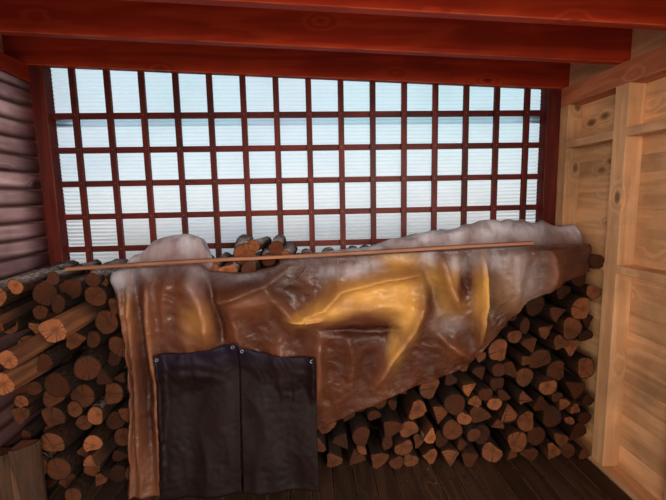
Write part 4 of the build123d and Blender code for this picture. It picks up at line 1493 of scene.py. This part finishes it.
def film_bulge(x, z):
    """How far the film's front stands out from the logs."""
    out = FILM_LIES
    for line, width, height in STROKES:
        distance, fade = off_line(x, z, line)
        if distance < 3 * width:
            out += height * fade * exp(-((distance / width) ** 1.35))
    out += 0.014 * (noise_at(x * 2.6, z * 2.2, 4.0) + 0.5)
    out += 0.010 * creased(x, z * 0.7, 2.0, 0.17) + 0.005 * creased(x + z * 0.4, z, 7.0, 0.075)
    out += 0.0022 * creased(x - z * 0.5, z, 11.0, 0.032)
    return max(out, 0.002)


def foot_flare(x, z):
    """How far the film's lower left part stands out towards its foot."""
    return FOOT_FLARE * max(0.0, (0.8 - z) / 0.65) ** 2 * held((-0.5 - x) / 0.4)


def light_at(x, z, spots):
    """The light of soft spots at a place of the front."""
    total = 0.0
    for spot_x, spot_z, wide, high, strength in spots:
        total += strength * exp(-(((x - spot_x) / wide) ** 2) - ((z - spot_z) / high) ** 2)
    return max(-1.0, min(total, 1.0))


def sheet_mesh(name, verts, columns, rows):
    """A smooth grid of vertices that come column by column."""
    mesh = bpy.data.meshes.new(name)
    mesh.from_pydata(verts, [], grid_faces(columns, rows))
    mesh.shade_smooth()
    return mesh


def give_wall(piece, thickness):
    """Gives a sheet its thickness, behind its face."""
    wall = piece.modifiers.new("wall", "SOLIDIFY")
    wall.thickness = thickness
    wall.offset = -1


print("the film stands out at x = 0.3, z = 1.2 by", round(film_bulge(0.3, 1.2), 3))

# %% Film shape
UNDER_LATH = 0.046
TOP_SKY_PALE = 0.1
CREST_CLEAR = 0.005
FLAP_LEVEL = 1.33


def top_point(x, back):
    """A point of the film on top of the stack, and its marks. back goes from 1 to the front."""
    hump, reach = along_table(FILM_HUMP, x), along_table(FILM_REACH, x)
    behind = reach * back
    past = max(0.0, behind - UNDER_LATH) / max(reach - UNDER_LATH, 0.001)
    rise = hump * sin(pi * min(1.0, past) ** 0.62)
    ridge = creased(x, behind, 5.0, 0.13) * sin(pi * min(1.0, past))
    rise = max(rise + 0.026 * ridge * min(1.0, hump / 0.08), 0.0)
    veil = held(0.5 + 2.4 * noise_at(x * 7.5, behind * 9.0, 3.0))
    crest = stack_top(x) + along_table(FILM_CREST, x)
    # Painted sky light on the top of the film, paler where it rises past the lath.
    pale = min(1.0, 0.3 + past * 6) * (0.5 + 0.5 * veil)
    return (x, STACK_FACE + behind, crest + rise), (0.5, 0.0, pale)


def front_point(x, down, hem):
    """A point of the film's front, and its marks. down goes from 0 at the crest to 1."""
    crest = stack_top(x) + along_table(FILM_CREST, x)
    z = crest + (hem - crest) * down
    ease = soft(min(1.0, down * 9))
    sway = 0.012 * noise_at(z * 3.0, x * 1.5, 8.0) * down
    out = film_bulge(x, z) * (0.12 + 0.88 * ease) + CREST_CLEAR * (1 - ease) + foot_flare(x, z)
    near_edge = exp(-(((x - FILM_LEFT) / 0.05) ** 2))
    flap = exp(-(((z - FLAP_LEVEL) / 0.05) ** 2))
    left_pull = near_edge * (0.03 - 0.016 * sin(5.0 * z + 1.0) - 0.03 * flap)
    # Painted sky light just below the crest, and at the pale places.
    pale = max(TOP_SKY_PALE * (1 - down * 12), light_at(x, z, SKY_PALES))
    marks = (min(out / 0.1, 1.0), light_at(x, z, GLOWS), pale)
    return (x + sway + left_pull, STACK_FACE - out - 0.002, z), marks


points = []
for column in range(FILM_COLUMNS + 1):
    x = FILM_LEFT + (FILM_RIGHT - FILM_LEFT) * (column / FILM_COLUMNS)
    hem = along_table(FILM_HEM, x, ease=float) + 0.012 * noise_at(x * 9, 2.0, 0.0)
    points += [top_point(x, 1 - row / FILM_TOP_ROWS) for row in range(FILM_TOP_ROWS)]
    points += [front_point(x, row / FILM_ROWS, hem) for row in range(FILM_ROWS + 1)]
verts = [point for point, _ in points]
film_mesh = sheet_mesh("film", verts, FILM_COLUMNS, FILM_TOP_ROWS + FILM_ROWS)
for number, label in enumerate(("proud", "film_glow", "sky")):
    layer = film_mesh.attributes.new(label, "FLOAT", "POINT")
    layer.data.foreach_set("value", [marks[number] for _, marks in points])
print("film area", round(sum(p.area for p in film_mesh.polygons), 3))

# %% Film finish


def milky_film():
    """Film that hides what is behind it where it is creased, and half shows it where it's flat."""
    material, shader, place = finish_named("milky_film")
    cloud = clouds(place, 2.4, 7.0, Roughness=0.6)
    streak = clouds(vectors("MULTIPLY", place, (1.0, 1.0, 0.25)), 16.0, 4.0)
    glow_mark, sky = mark(place, "film_glow"), mark(place, "sky")
    # lit paints the film lighter where it stands proud of the logs: partly painted light, partly
    # the dark logs showing less through it.
    lit = plus(times(mark(place, "proud"), 0.75), times(cloud, 0.6))
    base = blend(spread(lit, 0.3, 1.0), (0.072, 0.017, 0.0065), (0.26, 0.094, 0.045))
    # Painted shade where the glow mark is below nothing, painted golden highlights where it is
    # above, then painted sky light where the film is marked sky.
    base = blend(times(glow_mark, -0.8, clamp=True), base, (0.055, 0.014, 0.007))
    base = blend(times(glow_mark, 0.9, clamp=True), base, (0.80, 0.42, 0.10))
    base = blend(times(sky, spread(streak, 0.3, 0.6, 0.45, 1.0)), base, (0.81, 0.785, 0.89))
    folds = []
    for scale in (6.5, 17.0):
        crumple = less(clouds(place, scale, Distortion=0.6), 0.5)
        folds.append(spread(maths("ABSOLUTE", crumple), 0.0, 0.07, 1.0, 0.0))
    crease = plus(folds[0], times(folds[1], 0.45))
    # The film is made more see-through where it has painted sky light.
    clear_where_sky = less(1.0, times(sky, 0.3))
    feed(
        shader,
        {
            "Base Color": grimy(base, place, 1.7, 0.35)["Colour"],
            "Alpha": times(spread(lit, 0.3, 1.0, 0.68, 0.92), clear_where_sky),
            "Roughness": spread(streak, 0.3, 0.7, 0.3, 0.52),
            "Specular IOR Level": 0.36,
            "Normal": bump(crease, 0.34, 0.004),
            "Transmission Weight": 0.12,
            "IOR": 1.45,
        },
    )
    return material


film = show("milky_film", film_mesh, [milky_film()], "clear_film", "plastic_sheet")
give_wall(film, 0.0006)
print("film shown:", film.name)

# %% [markdown]
# ## Two dark tarps
# Two small woven tarps hang in front of the film, side by side, each from its top corners. A
# tarp held by its corners sags between them, and stiff vertical folds run down from each one.

# %% Tarp finish
TAPE_PITCH = 0.0032


def woven():
    """Woven plastic tape: a fine square weave with a satin sheen and pale dust."""
    material, shader, place = finish_named("woven_tarp")
    x, _, z = axes(place)
    warp, weft = (maths("SINE", times(way, TURN / TAPE_PITCH)) for way in (x, z))
    cloud = clouds(place, 6.0, 6.0)
    base = blend(cloud, (0.0055, 0.0028, 0.003), (0.016, 0.0068, 0.006))
    base = blend(spread(z, 0.8, 0.98, 0.0, 0.8), base, (0.013, 0.009, 0.026))
    wires = {"Base Color": grimy(base, place, 5.0, 0.15)["Colour"], "Specular IOR Level": 0.13}
    wires["Roughness"] = spread(cloud, 0.3, 0.7, 0.4, 0.6)
    feed(shader, {**wires, "Normal": bump(times(warp, weft), 0.25, 0.0004)})
    return material


TARP_FINISH = woven()
print("finish made:", TARP_FINISH.name)

# %% Tarps
TARP_COLUMNS = 44
TARP_ROWS = 70
TARP_CLEAR = 0.007
TARP_FOOT = 0.178
TARP_SAG = 0.022
TARP_CORNER = 0.12
NEAR = 0.03


def film_push(x, z):
    """How far the film behind a tarp pushes it out."""
    places = [(x + dx, z + dz) for dx in (-NEAR, 0.0, NEAR) for dz in (-NEAR, NEAR)]
    return max(film_bulge(*place) for place in places) + foot_flare(x, z)


def tarp(name, node_name, top_left, top_right, seed):
    """A hung tarp between two top corners, with folds and a rough lower edge."""
    low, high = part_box(node_name)
    verts = []
    for column in range(TARP_COLUMNS + 1):
        share = column / TARP_COLUMNS
        x = low.x + (high.x - low.x) * share
        head = top_left + (top_right - top_left) * share - TARP_SAG * sin(pi * share)
        corner = sum(exp(-((off / TARP_CORNER) ** 2)) for off in (share, 1 - share))
        for row in range(TARP_ROWS + 1):
            down = row / TARP_ROWS
            z = head + (TARP_FOOT - head) * down
            wander = 1.8 * noise_at(share * 2, down * 1.6, seed)
            fold = 0.010 * sin(9.5 * share + wander + seed)
            fine = 0.002 * creased(x, z, seed + 3, 0.035)
            fold += 0.006 * creased(x, z * 0.45, seed, 0.11) + fine
            lift = (fold + 0.012) * (0.25 + 0.75 * down ** 0.4) * (1 - 0.6 * corner * (1 - down))
            hang = high.y + (low.y - high.y) * down
            rest = STACK_FACE - film_push(x, z) - TARP_CLEAR
            y = min(hang, rest) - max(0.004 + lift, 0.0)
            verts.append((x + 0.01 * noise_at(z * 2, seed, share) * down, y, z))
    mesh = sheet_mesh(name, verts, TARP_COLUMNS, TARP_ROWS)
    made = show(name, mesh, [TARP_FINISH], "dark_tarp", node_name)
    give_wall(made, 0.0012)
    print(name, "area", round(sum(p.area for p in mesh.polygons), 3))
    return [verts[0], verts[TARP_COLUMNS * (TARP_ROWS + 1)]]


tarp_corners = tarp("dark_tarp_left_hung", "dark_tarp_left", 0.938, 0.981, 1.0)
tarp_corners += tarp("dark_tarp_right_hung", "dark_tarp_right", 0.955, 0.884, 5.0)

# %% [markdown]
# ## The lath
# A thin lath lies along the top of the stack to hold the film. It is slender, so it bows a
# little. Its section is swept along that bow.

# %% Lath
LATH_STEPS = 40
LATH_THICK = 0.016
LATH_EASE = 0.002
LATH_BOW = 0.008
LATH_SWAY = 0.006
low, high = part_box("lath")
wide, ease = high.y - low.y, LATH_EASE
section = [(ease, 0.0), (wide - ease, 0.0), (wide, ease), (wide, LATH_THICK - ease)]
section += [(wide - ease, LATH_THICK), (ease, LATH_THICK), (0.0, LATH_THICK - ease), (0.0, ease)]
rings = []
for step in range(LATH_STEPS + 1):
    share = step / LATH_STEPS
    x = low.x + (high.x - low.x) * share
    bow = sin(pi * share) * 0.6 + 0.3 * sin(2.7 * pi * share)
    lift = low.z + STACK_RISE * (x - low.x) + LATH_BOW * bow
    sway = low.y + LATH_SWAY * sin(2.2 * pi * share + 0.5)
    rings.append([(x, y + sway, z + lift) for y, z in section])
mesh = solid_mesh("lath_bowed", *tube(rings))
show("lath_bowed", mesh, [WOOD["lath_wood", "x"]], "lath_timber", "lath")
print("lath length", round(high.x - low.x, 3))

# %% [markdown]
# ## Nails, screws and eyelets
# The fixings follow from the timbers. A board is nailed where it crosses the timber behind it,
# so the places come from the boxes of the boards and of their supports. All of them are points
# for the setting-out tree, which turns each small head to face outwards.

# %% Fixing patterns
HEAD_SIDES = 8
RING_AROUND, RING_INNER = 14, 6
RING_THICK = 0.3
NAIL, SCREW, EYELET = 0, 1, 2
NAIL_HEAD, LATTICE_NAIL, WALL_NAIL = 0.006, 0.005, 0.0055
SCREW_HEAD, EYELET_RING = 0.0075, 0.0075
HEADS = (
    (NAIL, ((0.5, -0.2), (0.5, 0.1), (0.36, 0.2))),
    (SCREW, ((0.5, -0.2), (0.5, 0.08), (0.24, 0.14), (0.17, -0.05))),
)
fixing_folder = bpy.data.collections.new("fixing_patterns")
for number, profile in HEADS:
    rings = [
        [(radius * cos(a), radius * sin(a), z) for a in angles_of(HEAD_SIDES)]
        for radius, z in profile
    ]
    verts, faces = tube(rings)
    del faces[-2]
    pattern(fixing_folder, f"fixing_{number}", verts, faces, smooth=range(len(faces) - 1))
rings = []
for angle in angles_of(RING_AROUND):
    section = [
        (1 + RING_THICK * cos(tilt), RING_THICK * sin(tilt))
        for tilt in angles_of(RING_INNER)
    ]
    rings.append([(reach * cos(angle), reach * sin(angle), z) for reach, z in section])
verts, faces = tube(rings, closed=True)
pattern(fixing_folder, f"fixing_{EYELET}", verts, faces, smooth=range(len(faces)))

# %% Steel


def steel():
    """Dull zinc, with rust on some heads."""
    material, shader, place = finish_named("zinc_steel")
    spots = spread(clouds(place, 260.0, 3.0), 0.35, 0.6)
    rust = times(spread(mark(place, "tone"), 0.45, 0.8), spots)
    wires = {"Base Color": blend(rust, (0.38, 0.38, 0.39), (0.11, 0.035, 0.015))}
    wires["Metallic"] = maths("SUBTRACT", 0.85, rust, clamp=True)
    feed(shader, {**wires, "Roughness": spread(rust, 0.0, 1.0, 0.42, 0.85)})
    return material


STEEL = steel()
print("finish made:", STEEL.name)

# %% Where the fixings go
FACING = {
    "front": (pi / 2, 0.0, 0.0),
    "back": (-pi / 2, 0.0, 0.0),
    "left": (0.0, -pi / 2, 0.0),
    "right": (0.0, pi / 2, 0.0),
    "up": (0.0, 0.0, 0.0),
    "roof": (0.0, ROOF_ANGLE, 0.0),
}
fixings = []


def fix(x, y, z, facing, shape, across):
    """Adds one fixing."""
    astray = dice.uniform(-0.001, 0.001), dice.uniform(-0.001, 0.001) * (facing != "up")
    row = {"at": (x + astray[0], y, z + astray[1]), "turn": FACING[facing], "shape": shape}
    fixings.append({**row, "size": (across, across, across), "tone": dice.random()})


def boards(name):
    """The low and high corners of each board in a solid."""
    mesh = welded(name)
    found = []
    for part in islands(mesh):
        spans = [[v.co[axis] for v in part] for axis in range(3)]
        found.append((Vector([min(s) for s in spans]), Vector([max(s) for s in spans])))
    mesh.free()
    return found


def middles(name, axis):
    """The middle of each upright or joist along one axis, once each."""
    return sorted({round((low[axis] + high[axis]) / 2, 3) for low, high in boards(name)})


print("fixings can face:", list(FACING))

# %% Screws in the deck, nails in the lattice and the walls
joists = middles("floor_joists", 1)
for low, high in boards("deck_boards"):
    for y in joists:
        if low.y + 0.02 < y < high.y - 0.02:
            for share in (0.25, 0.75):
                x = low.x + (high.x - low.x) * share
                fix(x, y, DECK - 0.0008, "up", SCREW, SCREW_HEAD)
print("deck screws:", len(fixings))
rails = boards("lattice_rails")
for low, high in boards("lattice_battens"):
    for rail_low, rail_high in rails:
        x, z = (low.x + high.x) / 2, (rail_low.z + rail_high.z) / 2
        if low.z < z < high.z and rail_low.x < x < rail_high.x:
            fix(x, LATTICE_FACE, z, "front", NAIL, LATTICE_NAIL)
for node_name, facing, supports, first in (
    ("left_inner_cladding", "right", "left_studs", INSIDE_FIRST),
    ("left_outer_cladding", "left", "left_studs", CLAD_PITCH),
    ("right_cladding", "right", "right_posts", CLAD_PITCH),
):
    low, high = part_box(node_name)
    x = high.x if facing == "right" else low.x
    for y in middles(supports, 1):
        z = low.z + first + CLAD_PITCH * 0.5
        while z < high.z - 0.03 and low.y < y < high.y:
            fix(x, y + dice.uniform(-0.006, 0.006), z, facing, NAIL, WALL_NAIL)
            z += CLAD_PITCH
print("with wall nails:", len(fixings))

# %% Nails in the roof's edges, clouts in the felt, eyelets in the tarps
FASCIA_NAILS = [-1.72 + 0.49 * number for number in range(8)]
CLOUT_ROWS = 22
CLOUT_COLUMNS = 36
CLOUT = 0.01
for x in FASCIA_NAILS:
    for lift in (0.045, 0.14):
        z = rafter_foot(x) + lift
        fix(x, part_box("front_fascia")[0].y, z, "front", NAIL, NAIL_HEAD)
        fix(x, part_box("back_fascia")[1].y, z, "back", NAIL, NAIL_HEAD)
eaves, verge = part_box("eaves_fascia"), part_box("left_verge_board")
for y in middles("rafters", 1):
    fix(eaves[1].x, y, eaves[0].z + 0.05, "right", NAIL, NAIL_HEAD)
    fix(verge[0].x, y, verge[0].z + 0.04, "left", NAIL, NAIL_HEAD)
low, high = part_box("roof_felt")
laps = [low.x + number * (strip - FELT_LAP) + 0.03 for number in range(1, STRIPS)]
clouts = []
for step in range(CLOUT_ROWS + 1):
    y = low.y + 0.03 + (high.y - low.y - 0.06) * step / CLOUT_ROWS
    clouts += [(x, y) for x in (low.x + 0.02, high.x - 0.02, *laps)]
for step in range(1, CLOUT_COLUMNS):
    x = low.x + (high.x - low.x) * step / CLOUT_COLUMNS
    clouts += [(x, low.y + 0.018), (x, high.y - 0.018)]
for x, y in clouts:
    fix(x, y, rafter_foot(x) + RAFTER_DEPTH + ROOF_THICK + FELT_TOTAL, "roof", NAIL, CLOUT)
for number, (x, y, z) in enumerate(tarp_corners):
    fix(x + (-0.02 if number % 2 else 0.02), y - 0.004, z - 0.02, "front", EYELET, EYELET_RING)
mesh = scattered("fixing_points", fixings, fixing_folder, (STEEL,))
show("steel_fixings", mesh, [], None)
print("fixings:", len(fixings), "faces", len(mesh.polygons))
